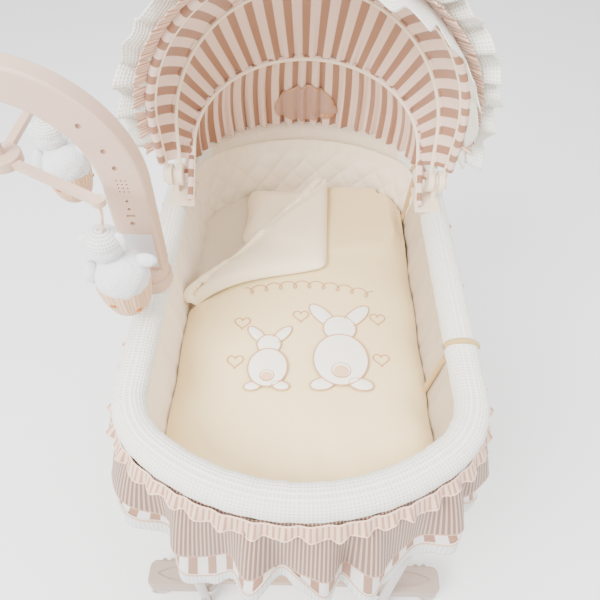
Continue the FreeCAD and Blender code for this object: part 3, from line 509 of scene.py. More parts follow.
M = {
    "waffle": waffle_cloth("waffle white", srgb(247, 246, 241), srgb(219, 217, 207)),
    "cream_waffle": waffle_cloth("waffle cream", srgb(240, 229, 214), srgb(216, 203, 186)),
    "hem": waffle_cloth("hem waffle", srgb(243, 242, 240), srgb(206, 206, 204), 0.0046),
    "hood": striped_cloth("hood stripes", srgb(226, 206, 196), srgb(150, 118, 102), 0.032, 0.46),
    "skirt": striped_cloth("wide stripes", srgb(232, 226, 221), srgb(152, 120, 102), 0.024, 0.46),
    "pin": striped_cloth("pinstripes", srgb(186, 164, 152), srgb(122, 98, 86), 0.0050, 0.60),
    "frill": striped_cloth("frill stripes", srgb(222, 196, 180), srgb(176, 142, 124), 0.0075,
                           0.42),
    "cloud": plain_cloth("rose patch", srgb(182, 154, 142), srgb(162, 134, 122)),
    "pipe": plain_cloth("tan piping", srgb(205, 172, 150), srgb(176, 142, 120)),
    "trim": plain_cloth("blush cloth", srgb(238, 214, 200), srgb(222, 192, 174)),
    "satin": satin_cloth("cream satin", srgb(236, 220, 186), srgb(222, 202, 164)),
    "pillow": satin_cloth("cream pillow", srgb(246, 236, 214), srgb(236, 222, 198)),
    "mattress": plain_cloth("mattress cotton", srgb(243, 236, 222), srgb(230, 220, 202)),
    "liner": plain_cloth("lining cotton", srgb(247, 237, 222), srgb(237, 224, 206)),
    "net": mesh_cloth("lining net", srgb(196, 184, 166), srgb(154, 140, 122)),
    "binding": plain_cloth("olive binding", srgb(186, 164, 128), srgb(160, 138, 104)),
    "star": plain_cloth("star cloth", srgb(184, 160, 146), srgb(164, 139, 126)),
    "thread": plain_cloth("tan thread", srgb(196, 160, 128), srgb(172, 134, 104), 0.0008),
    "white_patch": plain_cloth("white patch", srgb(250, 247, 240), srgb(236, 228, 214)),
    "tan_patch": plain_cloth("tan patch", srgb(226, 198, 172), srgb(206, 174, 146)),
    "plush": plush_cloth("white plush", srgb(253, 253, 252), srgb(226, 226, 228)),
    "knit": knit_cloth("peach knit", srgb(233, 209, 184), srgb(196, 162, 134)),
    "spot": knit_cloth("orange knit", srgb(196, 134, 88), srgb(160, 100, 62)),
    "tube": moulded("light powder coat", srgb(190, 184, 180), 0.38, grain=1600, depth=0.08),
    "bar": moulded("taupe powder coat", srgb(172, 153, 138), 0.42, grain=1500, depth=0.1),
    "foot": moulded("taupe plastic", srgb(168, 153, 144), 0.48, grain=1100, depth=0.14),
    "wheel": moulded("wheel plastic", srgb(196, 188, 180), 0.5),
    "fork": moulded("fork plastic", srgb(178, 168, 160), 0.5),
    "arm": moulded("blush plastic", srgb(196, 174, 160), 0.32, coat=0.15, depth=0.05),
    "cream": moulded("cream plastic", srgb(236, 224, 208), 0.38, depth=0.06),
    "panel": moulded("milky window", srgb(206, 206, 210), 0.25, coat=0.3, depth=0.03),
    "button": moulded("button plastic", srgb(244, 240, 234), 0.3, coat=0.2, depth=0.03),
    "steel": moulded("plated bolt", srgb(200, 200, 200), 0.3, metallic=1.0),
    "board": plain_cloth("board cloth", srgb(226, 214, 196), srgb(208, 194, 174)),
}


# ---------------------------------------------------------------- carried-over CAD nodes

def paint_cad():
    """Give every CAD node that stays in view its material."""
    slots = {
        "stand_bar": "bar", "stand_foot": "foot", "stand_tube": "tube", "dark_plastic": "foot",
        "bolt_steel": "steel", "shelf_board": "board", "caster_plastic": "fork",
        "wheel_plastic": "wheel", "pan_board": "board", "wall_board": "board",
        "cream_plastic": "cream", "bow_plastic": "cream", "arm_plastic": "arm",
        "light_panel": "panel", "button_plastic": "button",
    }
    for entry in frame["record"]["subparts"]:
        key = slots.get(entry["material_slot"])
        if key is None:
            continue
        piece = NODES[entry["node"]]
        if not piece.material_slots:
            piece.data.materials.append(M[key])
        for place in piece.material_slots:
            place.material = M[key]


# ---------------------------------------------------------------- rim, lining and skirt

def gathers(along, count, seed):
    """A closed, uneven train of folds round the rim, from -1 to 1."""
    rng = np.random.default_rng(seed)
    turn = 2 * math.pi * along / AROUND
    phase = sum(a * np.sin(k * turn + p) for a, k, p in zip(
        (0.9, 0.6, 0.4), (3, 7, 11), rng.uniform(0, 2 * math.pi, 3)))
    fold = np.sin(count * turn + phase)
    extra = 0.35 * np.sin(round(count * 1.7) * turn + 1.4 * phase + rng.uniform(0, 6))
    return (fold + extra) / 1.35


def ring_surface(name, rows, columns, shape, key):
    """A sheet round the rim. shape(along, down) gives outset, z and the cloth's v."""
    down, along = shares(rows, columns, AROUND)
    outset, z, v = shape(along, down)
    points = stack(*round_rim(along, outset), z)
    uvs = stack(along, v + 0 * down)
    return grid(name, points, uvs, key, closed=True)


def make_rim():
    sides, columns = 40, 620
    angle = np.linspace(0, 2 * math.pi, sides + 1)[:, None]
    along = np.linspace(0, AROUND, columns)[None, :]
    soft = 1 + 0.018 * gathers(along, 46, 5) + 0.012 * gathers(along, 97, 6)

    def rounded(wave):
        return np.sign(wave) * np.abs(wave) ** 0.78 * soft

    x, y = round_rim(along, 0.0238 * rounded(np.cos(angle)) - ROLL_INSET)
    points = stack(x, y, RIM_TOP - ROLL_DROP + 0.0178 * rounded(np.sin(angle)))
    roll = grid("rim_roll_cloth", points, stack(along, angle * 0.0215), "waffle", closed=True,
                rolled=True)
    roll.data.materials.append(M["cream_waffle"])
    for polygon in roll.data.polygons:
        if polygon.center.y > 0.27 and abs(polygon.center.x - CENTRE.x) < 0.19:
            polygon.material_index = 1
    dress(roll, "basket", "rim_roll")


def lining_inset(y, down):
    """How far the lining's face is in from the rim's outline."""
    head = np.clip((y - 0.16) / 0.10, 0, 1)
    foot = np.clip((-0.30 - y) / 0.08, 0, 1)
    lean = 0.020 - 0.006 * head - 0.006 * foot
    return 0.032 + lean * down ** 0.8


def liner_depth(along, down):
    """How far the lining stands in from the outline, and its height."""
    top = RIM_TOP - 0.022
    low = BED_LOW - 0.040
    z = top + (low - top) * down
    y = round_rim(along, -0.03)[1]
    head = np.clip((y - 0.16) / 0.08, 0, 1) * np.clip((down - 0.22) / 0.10, 0, 1)
    quilt_u = along / 0.060
    quilt_v = (z - low) / 0.060
    diamond = np.abs(np.sin(math.pi * (quilt_u + quilt_v))) * np.abs(
        np.sin(math.pi * (quilt_u - quilt_v)))
    puff = 0.0048 * np.sqrt(diamond) * head
    wrinkle = 0.0030 * gathers(along, 21, 12) * np.exp(-((down - 0.45) / 0.25) ** 2)
    ripple = 0.0014 * gathers(along, 58, 11) * (1 - head) + wrinkle
    tuck = 0.010 * np.exp(-(down / 0.05) ** 2)
    return -(lining_inset(y, down) + puff + ripple - tuck), z, z


def make_liner():
    liner = ring_surface("lining_inner", 64, 900, liner_depth, "liner")
    liner.data.materials.append(M["net"])
    for polygon in liner.data.polygons:
        if polygon.center.x - CENTRE.x > 0.12 and -0.30 < polygon.center.y < 0.24:
            polygon.material_index = 1
    thicken(liner, 0.003, 1.0)
    dress(liner, "basket", "padded_liner")
    right = np.where(OUT_POINTS[:, 0] > 0)[0]
    turn = np.radians(np.linspace(15, 168, 20))
    share = np.linspace(0, 1, 20)
    top = RIM_TOP - 0.030
    for name, at_y, slant in (("binding_head", 0.272, -0.022), ("binding_foot", -0.168, 0)):
        along = OUT_LENGTHS[right[np.argmin(np.abs(OUT_POINTS[right, 1] - at_y))]]
        outset = np.concatenate([-ROLL_INSET + 0.0246 * np.cos(turn),
                                 -(lining_inset(at_y, share) + 0.0065)])
        z = np.concatenate([RIM_TOP - ROLL_DROP + 0.0188 * np.sin(turn),
                            top - (top - BED_LOW) * share])
        slide = np.concatenate([np.zeros(20), slant * share])
        tube(name, stack(*round_rim(along + slide, outset), z), 0.0050, "binding", "basket")


def skirt_wave(along, count, seed, down, low, high):
    return gathers(along, count, seed) * (low + (high - low) * down ** 0.8)


def frill_shape(along, down):
    flare = skirt_wave(along, 70, 21, down, 0.0012, 0.0048)
    flutter = 0.0032 * gathers(along, 127, 22) * down
    droop = 0.020 + 0.006 * gathers(along, 19, 23)
    return (0.0005 + 0.010 * down + flare + 0.5 * flutter,
            RIM_TOP - 0.034 - droop * down + flutter, 0.024 * down)


def upper_shape(along, down):
    wave = skirt_wave(along, 25, 31, down, 0.003, 0.019)
    swag = -np.cos(2 * math.pi * 10 * (along + 0.015) / AROUND)
    drop = 0.116 + 0.010 * swag + 0.010 * gathers(along, 11, 32) - 0.014 * gathers(
        along, 25, 31)
    return (-0.006 + 0.030 * down ** 0.8 + wave, RIM_TOP - 0.037 - drop * down,
            0.14 * down)


def lower_shape(along, down):
    wave = skirt_wave(along, 25, 31, down, 0.010, 0.020)
    swag = -np.cos(2 * math.pi * 10 * (along + 0.015) / AROUND) + 0.25 * gathers(along, 17, 43)
    drop = 0.074 + 0.040 * swag
    return (0.004 + 0.022 * down + wave, RIM_TOP - 0.135 - drop * down, 0.17 * down)


def hem_shape(along, down):
    outset, z, _ = lower_shape(along, 1.0 + 0 * down)
    return (outset + 0.004 * down + 0.002 * gathers(along, 55, 44) * down,
            z + 0.004 - 0.038 * down, 0.040 * down)


def make_skirt():
    pieces = (
        ("frill_cloth", 10, 1500, frill_shape, "frill", "skirt_frill", "striped_cloth"),
        ("upper_tier_cloth", 26, 1100, upper_shape, "pin", "skirt_upper", "pinstripe_cloth"),
        ("lower_tier_cloth", 26, 1100, lower_shape, "skirt", "skirt_lower", "striped_cloth"),
        ("hem_cloth", 8, 1100, hem_shape, "hem", "skirt_lower", "waffle_cloth"),
    )
    for name, rows, columns, shape, key, node, slot in pieces:
        sheet = ring_surface(name, rows, columns, shape, key)
        thicken(sheet, SKIRT_CLOTH)
        dress(sheet, "basket", node)
    along = np.linspace(0, AROUND, 900, endpoint=False)
    for name, shape, down, key, radius in (("hem_piping", lower_shape, 1.0, "pipe", 0.0022),
                                           ("frill_piping", frill_shape, 0.0, "trim", 0.0012),
                                           ("frill_edge", frill_shape, 1.0, "trim", 0.0012),
                                           ("tier_edge", upper_shape, 1.0, "pipe", 0.0012)):
        outset, z, _ = shape(along, down + 0 * along)
        tube(name, stack(*round_rim(along, outset), z), radius, key, "basket",
             closed=True, sides=8)


# ---------------------------------------------------------------- bedding

PILLOW_LOW, PILLOW_HIGH = (Vector(c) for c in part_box("pillow"))
DUVET_LOW, DUVET_HIGH = (Vector(c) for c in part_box("duvet"))
FOLD_START = Vector((-0.212, 0.000))
FOLD_END = Vector((0.040, 0.322))
BED_INSET = 0.046


def duvet_height(x, y):
    """The quilt's upper surface away from its edges."""
    over_pillow = np.clip((y - 0.105) / 0.09, 0, 1)
    over_pillow = over_pillow * over_pillow * (3 - 2 * over_pillow)
    crown = 0.040 + 0.006 * np.cos(x * 6) + 0.020 * over_pillow
    swell = 0.0035 * np.sin(9 * x + 4 * y + 1) + 0.003 * np.sin(13 * y - 5 * x)
    return BED_LOW + crown + swell


def duvet_top(x, y, edge):
    roll = 1 - np.exp(-np.clip(edge, 0, None) / 0.020)
    foot = np.clip((-0.18 - y) / 0.15, 0, 1)
    angle = np.arctan2(x, -(y + 0.10))
    crease = 0.0045 * foot * np.sin(17 * angle + 2.2 * np.sin(4 * angle)) * np.exp(-edge / 0.07)
    side = 0.004 * np.exp(-edge / 0.05) * np.sin(42 * y + 6 * x) * (1 - foot)
    base = BED_LOW + 0.003
    return base + (duvet_height(x, y) - base) * (0.30 + 0.70 * roll) + crease + side


def left_side(y):
    wall = -inner_half_width(y, BED_INSET)
    slope = (FOLD_END.x - FOLD_START.x) / (FOLD_END.y - FOLD_START.y)
    fold = FOLD_START.x + (y - FOLD_START.y) * slope
    return np.where(y > FOLD_START.y, np.maximum(wall, fold), wall)


def right_side(y):
    return inner_half_width(y, BED_INSET)


def make_bedding():
    """The mattress, pillow and quilt. Gives the quilt's surface, for what lies on it."""
    def flat_low(x, y, edge):
        return BED_LOW - 0.046 + 0.010 * np.exp(-edge / 0.012)

    def bed_top(x, y, edge):
        return BED_LOW - 0.014 * np.exp(-edge / 0.014)

    ends = (-(HALF_LENGTH - 0.037), HALF_LENGTH - 0.037)
    mattress = pad("mattress_pad", lambda y: -inner_half_width(y, 0.037),
                   lambda y: inner_half_width(y, 0.037), ends, bed_top, flat_low,
                   "mattress")
    dress(mattress, node="mattress")

    half = (PILLOW_HIGH.x - PILLOW_LOW.x) / 2
    y0 = PILLOW_LOW.y - CENTRE.y
    y1 = PILLOW_HIGH.y - CENTRE.y
    middle = (y0 + y1) / 2
    half_y = (y1 - y0) / 2

    def pillow_side(y):
        share = np.clip(np.abs(y - middle) / half_y, 0, 1)
        return half * (1 - share ** 5) ** 0.2 - 0.004 * np.cos(3 * share)

    def pillow_top(x, y, edge):
        body = 1 - np.exp(-(np.clip(edge - 0.014, 0, None) / 0.034) ** 1.2)
        ripple = 0.0016 * np.sin(60 * x + 20 * y) * np.exp(-edge / 0.03)
        return PILLOW_LOW.z + 0.010 + 0.031 * body + ripple

    def pillow_low(x, y, edge):
        body = 1 - np.exp(-(np.clip(edge - 0.014, 0, None) / 0.02))
        return PILLOW_LOW.z + 0.0075 - 0.007 * body

    pillow = pad("pillow_pad", lambda y: -pillow_side(y), pillow_side,
                 (y0 + 0.001, y1 - 0.001), pillow_top, pillow_low, "pillow")
    inflate(pillow, 0.005, 0.006, PILLOW_LOW.z, PILLOW_HIGH.z + 0.004)
    dress(pillow, node="pillow")

    def quilt_low(x, y, edge):
        lifted = np.clip((y - 0.125) / 0.035, 0, 1) * 0.046
        inside = (np.abs(x) < half + 0.01)
        return BED_LOW + 0.001 + np.where(inside, lifted, lifted * 0.6)

    def quilt_top(x, y, edge):
        return np.maximum(duvet_top(x, y, edge), quilt_low(x, y, edge) + 0.006)

    duvet = pad("duvet_quilt", left_side, right_side, (-(HALF_LENGTH - BED_INSET), 0.334),
                quilt_top, quilt_low, "satin", counts=(170, 120))
    inflate(duvet, 0.0055, 0.005, DUVET_LOW.z, DUVET_HIGH.z + 0.003)
    dress(duvet, node="duvet")
    return BVHTree.FromObject(duvet, bpy.context.evaluated_depsgraph_get())


def quilt_surface(x, y):
    """Heights of the finished quilt under points; its formula where the points miss it."""
    heights = duvet_top(x, y, np.full_like(x, 0.06))
    flat = heights.ravel()
    for index, (px, py) in enumerate(zip(np.ravel(x), np.ravel(y))):
        hit = DUVET_TREE.ray_cast(Vector((px + CENTRE.x, py + CENTRE.y, 1.0)), Vector((0, 0, -1)))
        if hit[0] is not None:
            flat[index] = hit[0].z
    return flat.reshape(heights.shape)


def make_flap():
    """The quilt's turned-back corner: a soft triangle that lies on the quilt."""
    fold_a, fold_b, tip = np.array(FOLD_START), np.array(FOLD_END), np.array([0.037, 0.076])
    s, w = shares(40, 60)
    fold = fold_a + (fold_b - fold_a) * w[..., None]
    lower = fold_a + (tip - fold_a) * (w / 0.62)[..., None]
    upper = tip + (fold_b - tip) * ((w - 0.62) / 0.38)[..., None]
    edge = np.where((w < 0.62)[..., None], lower, upper)
    x, y = np.moveaxis(fold + (edge - fold) * s[..., None], -1, 0)
    y = y + 0.006 * np.sin(math.pi * w) * s * np.sin(7 * w)
    inner = np.minimum(s * 0.16, np.minimum(w, 1 - w) * 0.5)
    puff = 0.013 * (1 - np.exp(-(1 - s) * 14)) + 0.004
    rise = quilt_surface(x, y) + puff * np.clip(inner / 0.02, 0, 1) ** 0.3
    rise = rise + 0.0025 * np.sin(30 * x - 18 * y) * s - np.exp(-(s / 0.05) ** 2) * 0.010
    flap = grid("duvet_flap", stack(x, y, rise), stack(x, y), "pillow")
    thicken(flap, 0.010, -1.0)
    flap.modifiers.new("soft edge", "SUBSURF").levels = 1
    freeze(flap)
    dress(flap, "basket")


# ---------------------------------------------------------------- embroidery

def drape(x, y, lift):
    """Points laid on the quilt."""
    return stack(x, y, quilt_surface(x, y) + lift)


def patch(name, centre, radii, turn, key, lift):
    """An oval patch sewn on the quilt, with a stitched edge."""
    share, angles = shares(10, 49, 2 * math.pi)
    a = radii[0] * share * np.cos(angles)
    b = radii[1] * share * np.sin(angles)
    x = centre[0] + a * math.cos(turn) - b * math.sin(turn)
    y = centre[1] + a * math.sin(turn) + b * math.cos(turn)
    points = drape(x, y, lift + 0.002 * (1 - share ** 2))
    grid(name, points, stack(x, y), key, "basket", closed=True)
    stitches(name + "_edge", points[-1, :-1] + np.array([0, 0, 0.0004]), 0.0011)


def stitches(name, line, radius, closed=True):
    """A thread sewn on the quilt."""
    tube(name, line, radius, "thread", "basket", closed=closed, sides=6)


def rabbit(name, x, y, scale):
    """A plain rabbit seen from behind: splayed ears, head, round body, feet and tail."""
    parts = (
        ("ear_left", -0.021, 0.052, 0.0095, 0.022, 0.75, "white_patch"),
        ("ear_right", 0.021, 0.052, 0.0095, 0.022, -0.75, "white_patch"),
        ("head", 0, 0.032, 0.020, 0.019, 0, "white_patch"),
        ("foot_left", -0.022, -0.048, 0.014, 0.008, 0.2, "white_patch"),
        ("foot_right", 0.022, -0.048, 0.014, 0.008, -0.2, "white_patch"),
        ("body", 0, -0.014, 0.032, 0.036, 0, "white_patch"),
        ("tail", 0, -0.030, 0.011, 0.010, 0, "tan_patch"),
    )
    for order, (part, dx, dy, rx, ry, turn, key) in enumerate(parts):
        patch(f"{name}_{part}", (x + dx * scale, y + dy * scale), (rx * scale, ry * scale),
              turn, key, lift=0.0010 + 0.0007 * order)


def make_embroidery():
    rabbit("small_rabbit", -0.055, -0.135, 1.02)
    rabbit("large_rabbit", 0.066, -0.112, 1.42)
    hearts = ((-0.104, -0.056), (-0.002, -0.040), (0.134, -0.040), (-0.110, -0.135),
              (0.134, -0.128))
    angle = np.linspace(0, 2 * math.pi, 60, endpoint=False)
    size = 0.0135
    for index, (x, y) in enumerate(hearts):
        hx = x + size * np.sin(angle) ** 3
        hy = y + size * (13 * np.cos(angle) - 5 * np.cos(2 * angle) - 2 * np.cos(3 * angle)
                         - np.cos(4 * angle)) / 16
        stitches(f"heart_{index + 1}", drape(hx, hy, 0.0008), 0.0011)
    along = np.linspace(0, 1, 260)
    loops = 2 * math.pi * 9 * along
    scroll_x = -0.105 + 0.235 * along + 0.008 * np.sin(loops)
    scroll_y = 0.014 + 0.018 * np.sin(math.pi * along) + 0.0085 * np.cos(loops)
    stitches("scroll", drape(scroll_x, scroll_y, 0.0008), 0.0010, closed=False)


# ---------------------------------------------------------------- hood

def arch(share, half_width, height, base):
    """Points of an arch, share 0 to 1 from its right foot to its left foot."""
    spring = 0.27 * height
    angle = np.linspace(0, math.pi, 121)
    crown = np.stack([half_width * np.cos(angle), spring + (height - spring) * np.sin(angle)],
                     axis=-1)
    line = np.concatenate([[[half_width, base]], crown, [[-half_width, base]]])
    lengths = run_lengths(line)
    at = share * lengths[-1]
    return np.interp(at, lengths, line[:, 0]), np.interp(at, lengths, line[:, 1]), lengths[-1]


def lean(x, r, degrees):
    """Points of an arch's plane, leaned back about the hood's axis."""
    angle = np.radians(degrees)
    return stack(x, PIVOT.y + r * np.sin(angle), PIVOT.z + r * np.cos(angle))


def arch_points(share, size):
    """Points of an arch (half width, height, base, degrees), and its length."""
    x, r, length = arch(share, *size[:3])
    return lean(x, r, size[3]), length


def from_axis(points):
    """Directions outwards from the middle of the hood's axis."""
    outward = points - np.array([0, PIVOT.y, PIVOT.z])
    return outward / (np.linalg.norm(outward, axis=-1, keepdims=True) + 1e-9)


def arch_sheet(name, first, second, counts, ripple, bulge):
    """Cloth stretched between two arches."""
    part, share = shares(*counts)
    start, long = arch_points(share, first)
    stop = arch_points(share, second)[0]
    points = start + (stop - start) * part[..., None]
    swell = bulge * np.sin(math.pi * part) * np.sin(math.pi * share) ** 0.5
    points = points + from_axis(points) * (swell + ripple(share, part))[..., None]
    across = np.max(np.linalg.norm(stop - start, axis=-1))
    return grid(name, points, stack(share * long, part * across), "hood")


def folds(share, count, seed):
    rng = np.random.default_rng(seed)
    p = rng.uniform(0, 2 * math.pi, 4)
    phase = 1.1 * np.sin(5 * math.pi * share + p[0]) + 0.8 * np.sin(11 * math.pi * share + p[1])
    return (np.sin(2 * math.pi * count * share + phase)
            + 0.4 * np.sin(3.4 * math.pi * count * share + 1.5 * phase + p[2])) / 1.4


# Arches: half width, height, base and degrees leaned back.
FRONT = (0.2525, 0.3745, 0.030, -7)
MIDDLE = (0.2300, 0.3100, 0.030, 14)
MIDDLE_BACK = (0.2285, 0.3080, 0.030, 16)
REAR = (0.2065, 0.2195, 0.030, 50)
VALANCE = (0.2230, 0.2380, 0.030, 94)
RUFFLE_SEAM = (0.2580, 0.3800, 0.060, -7.5)


def hood_line(size, lift=0.0):
    return arch_points(np.linspace(0, 1, 420), (size[0] + lift, size[1] + lift, *size[2:]))[0]


def valance_points(share, part):
    """The gathered cloth behind the head, from the rear seam down on to the rim."""
    x1, r1, _ = arch(share, VALANCE[0], VALANCE[1], 0.004)
    start = arch_points(share, (REAR[0], REAR[1], 0.004, REAR[3]))[0]
    stop = lean(x1, r1, VALANCE[3])
    middle = np.sin(math.pi * share)
    hem = 0.004 * folds(share, 11, 75) + 0.004 * np.cos(6 * math.pi * share)
    settle = np.clip((r1 - 0.03) / 0.06, 0, 1)
    low = RIM_TOP - 0.004 + 0.6 * hem * middle
    stop[..., 2] += (low - stop[..., 2]) * settle
    points = start + (stop - start) * part[..., None]
    swell = folds(share, 27, 73) * (0.0022 + 0.0065 * part) * middle ** 0.3
    swell = swell + 0.0020 * folds(share, 61, 76) * np.exp(-part / 0.2)
    swell = swell + 0.010 * np.sin(math.pi * part) * middle
    return points + from_axis(points) * swell[..., None]


def crosses(piece):
    """Bake a piece's placement into its mesh."""
    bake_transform(piece)


def make_hood():
    band = arch_sheet("hood_band_cloth", MIDDLE, FRONT, (24, 240),
                      lambda s, p: 0.0022 * folds(s, 16, 71) * (1 - p), 0.004)
    thicken(band, HOOD_CLOTH)
    dress(band, node="hood_front_band")
    crosses(band)

    dome = arch_sheet("hood_dome_cloth", MIDDLE_BACK, REAR, (36, 300),
                      lambda s, p: 0.0050 * folds(s, 26, 72) * p ** 2, 0.012)
    thicken(dome, HOOD_CLOTH)
    dress(dome, node="hood_dome")
    crosses(dome)

    part, share = shares(34, 460)
    valance = grid("hood_valance_cloth", valance_points(share, part),
                   stack(share * 0.90, part * 0.19), "hood")
    thicken(valance, HOOD_CLOTH)
    dress(valance, "basket", "hood_valance")

    tube("hood_seam_middle", hood_line(MIDDLE), 0.0034, "hood", "hood_middle",
         flat=0.8)
    tube("hood_seam_rear", hood_line(REAR), 0.0042, "hood", "basket", flat=0.8)
    tube("hood_front_roll", hood_line(FRONT, 0.001), 0.0105, "hood", "hood_front",
         sides=16, flat=0.75)
    for side, hand in ((-1, "left"), (1, "right")):
        sleeve = lean(side * REAR[0], np.linspace(0.034, -0.046, 10), REAR[3])
        tube(f"bow_sleeve_{hand}", sleeve, 0.0060, "hood", "basket", sides=12)
    make_ruffles()
    make_cloud()


def ruffle(name, outer, counts, folds_count, depth, key, seed, node=None, window=1.0):
    """A gathered frill round the front bow, fluted more towards its free edge."""
    part, share = shares(*counts, window)
    start = arch_points(share, RUFFLE_SEAM)[0]
    stop, long = arch_points(share, outer)
    flute = folds(share, folds_count, seed) * depth * part ** 0.7
    sway = folds(share, folds_count, seed + 9) * depth * 0.245 * part
    angle = math.radians(RUFFLE_SEAM[3])
    forward = np.array([0, -math.cos(angle), math.sin(angle)])
    outward = (stop - start) / np.linalg.norm(stop - start, axis=-1, keepdims=True)
    points = (start + (stop - start) * part[..., None] + forward * flute[..., None]
              + outward * sway[..., None])
    piece = grid(name, points, stack(share * long * 1.5, part * 0.05), key)
    thicken(piece, SKIRT_CLOTH)
    dress(piece, "hood_front", node)


def make_ruffles():
    ruffle("hood_ruffle_white", (0.3000, 0.4200, 0.050, -12), (18, 800), 19, 0.019, "waffle",
           81, node="hood_ruffle")
    ruffle("hood_ruffle_tan", (0.2760, 0.3985, 0.052, -13), (10, 900), 44, 0.0055, "frill",
           82)
    ruffle("hood_ruffle_inner", (0.2680, 0.3880, 0.052, -19), (14, 700), 15, 0.014, "waffle",
           83, window=0.56)


def inside_valance(share, part, distance):
    """Points a distance inside the valance, towards the hood's axis."""
    points = valance_points(share, part)
    return points - from_axis(points) * (distance + 0 * share)[..., None]


def make_cloud():
    """A scalloped patch with two buttons, sewn low on the valance."""
    share, angles = shares(14, 161, 2 * math.pi)
    wave = np.sin(angles)
    edge = 1 + 0.07 * np.abs(np.sin(4.5 * angles)) * (wave > 0)
    a = 0.505 + 0.082 * share * np.cos(angles) * edge
    b = 0.78 - share * np.where(wave > 0, 0.34, 0.12) * wave * edge
    points = inside_valance(a, b, 0.0045 + 0.0020 * (1 - share ** 2))
    cloud = grid("cloud_patch", points, stack(a, b), "cloud", closed=True)
    thicken(cloud, 0.002)
    dress(cloud, "basket")
    tube("cloud_patch_edge", points[-1, :-1], 0.0013, "thread", "basket",
         closed=True, sides=6)
    for index, at in enumerate((0.452, 0.440)):
        spot = inside_valance(np.array([[at]]), np.array([[0.80]]), 0.0085)[0, 0]
        ball(f"cloud_button_{index + 1}", spot, (0.0042, 0.0022, 0.0042), "thread", "basket",
             counts=(10, 16))


# ---------------------------------------------------------------- toys

def ball(name, centre, radii, key, body, lumps=0.0, seed=1, counts=(40, 56)):
    """A soft rounded form with an uneven surface."""
    rows, columns = counts
    rng = np.random.default_rng(seed)
    v = np.linspace(0.001, math.pi - 0.001, rows)[:, None]
    u = np.linspace(0, 2 * math.pi, columns + 1)[None, :]
    bumps = np.zeros((rows, columns + 1))
    for _ in range(10):
        k = rng.integers(3, 12, 2)
        p = rng.uniform(0, 2 * math.pi, 2)
        bumps += np.sin(k[0] * u + p[0]) * np.sin(k[1] * v + p[1]) / 10
    size = 1 + lumps * bumps * np.sin(v)
    x = centre[0] + radii[0] * size * np.sin(v) * np.cos(u)
    y = centre[1] + radii[1] * size * np.sin(v) * np.sin(u)
    z = centre[2] + radii[2] * size * np.cos(v)
    uvs = stack(u * radii[0], v * radii[2])
    piece = grid(name, stack(x, y, z), uvs, key, body, closed=True)
    return piece


def make_toy(index):
    body = f"toy_{index}"
    low, high = box_of(body + "_plush")
    cone_low, cone_high = box_of(body + "_cone")
    x = (low.x + high.x) / 2
    y = (low.y + high.y) / 2
    radius = (high.x - low.x) / 2
    belly_z = low.z + radius
    head_z = belly_z + 0.046
    belly = ball(body + "_belly", (x + 0.002, y - 0.003, belly_z - 0.002),
                 (radius * 0.82, radius * 0.80, radius * 0.78), "plush", body,
                 0.08, 10 + index)
    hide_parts(body + "_plush")
    parts = (
        ("head", -0.012, 0.003, head_z, 0.025, 0.025, 0.024),
        ("ear_left", -0.034, 0.003, head_z + 0.004, 0.010, 0.007, 0.016),
        ("ear_right", 0.010, 0.003, head_z + 0.006, 0.010, 0.007, 0.016),
        ("arm_left", -0.034, -0.012, belly_z + 0.010, 0.011, 0.013, 0.018),
        ("arm_right", 0.034, 0.004, belly_z + 0.018, 0.018, 0.010, 0.010),
    )
    for part, dx, dy, z, *radii in parts:
        ball(f"{body}_{part}", (x + dx, y + dy, z), radii, "plush", body, 0.08,
             30 + index, (24, 32))
    ball(body + "_cap", (x - 0.012, y + 0.003, head_z + 0.007), (0.0245, 0.0245, 0.021), "hem",
         body, 0.03, 50, (24, 36))
    t = np.linspace(0, 1, 10)
    tab_low = head_z + 0.022
    tab = stack(x - 0.010 * (1 - t) ** 2, y, tab_low + (high.z - 0.006 - tab_low) * t)
    tube(body + "_tab", tab, 0.0050, "trim", body, flat=0.3, sides=12)

    share, turn = shares(30, 73, 2 * math.pi)
    wide = min((cone_high.x - cone_low.x) / 2, 0.0345)
    profile = wide * (1 - 0.40 * share ** 1.8) * np.sqrt(np.clip(1.02 - share ** 9, 0, 1))
    profile = profile + 0.0012 * np.sin(12 * turn) * (1 - share)
    points = stack(x + profile * np.cos(turn), y + profile * np.sin(turn),
                   cone_high.z + (cone_low.z - cone_high.z) * share)
    cone = grid(body + "_knit", points, stack(turn * wide, share * 0.07), "knit", closed=True)
    thicken(cone, 0.003, -1.0)
    dress(cone, body, body + "_cone")
    ball(body + "_base", (x, y, cone_low.z + 0.010), (wide * 0.59, wide * 0.59, 0.0098), "knit",
         body, counts=(16, 32))
    for spot, (angle, height) in enumerate(((-1.9, 0.35), (-0.9, 0.62), (0.4, 0.4), (2.2, 0.5))):
        at = wide * (1 - 0.40 * height ** 1.8)
        centre = (x + at * math.cos(angle), y + at * math.sin(angle),
                  cone_high.z + (cone_low.z - cone_high.z) * height)
        ball(f"{body}_spot_{spot + 1}", centre, (0.006, 0.006, 0.004), "spot", body,
             counts=(12, 18))


# ---------------------------------------------------------------- storage basket, stars

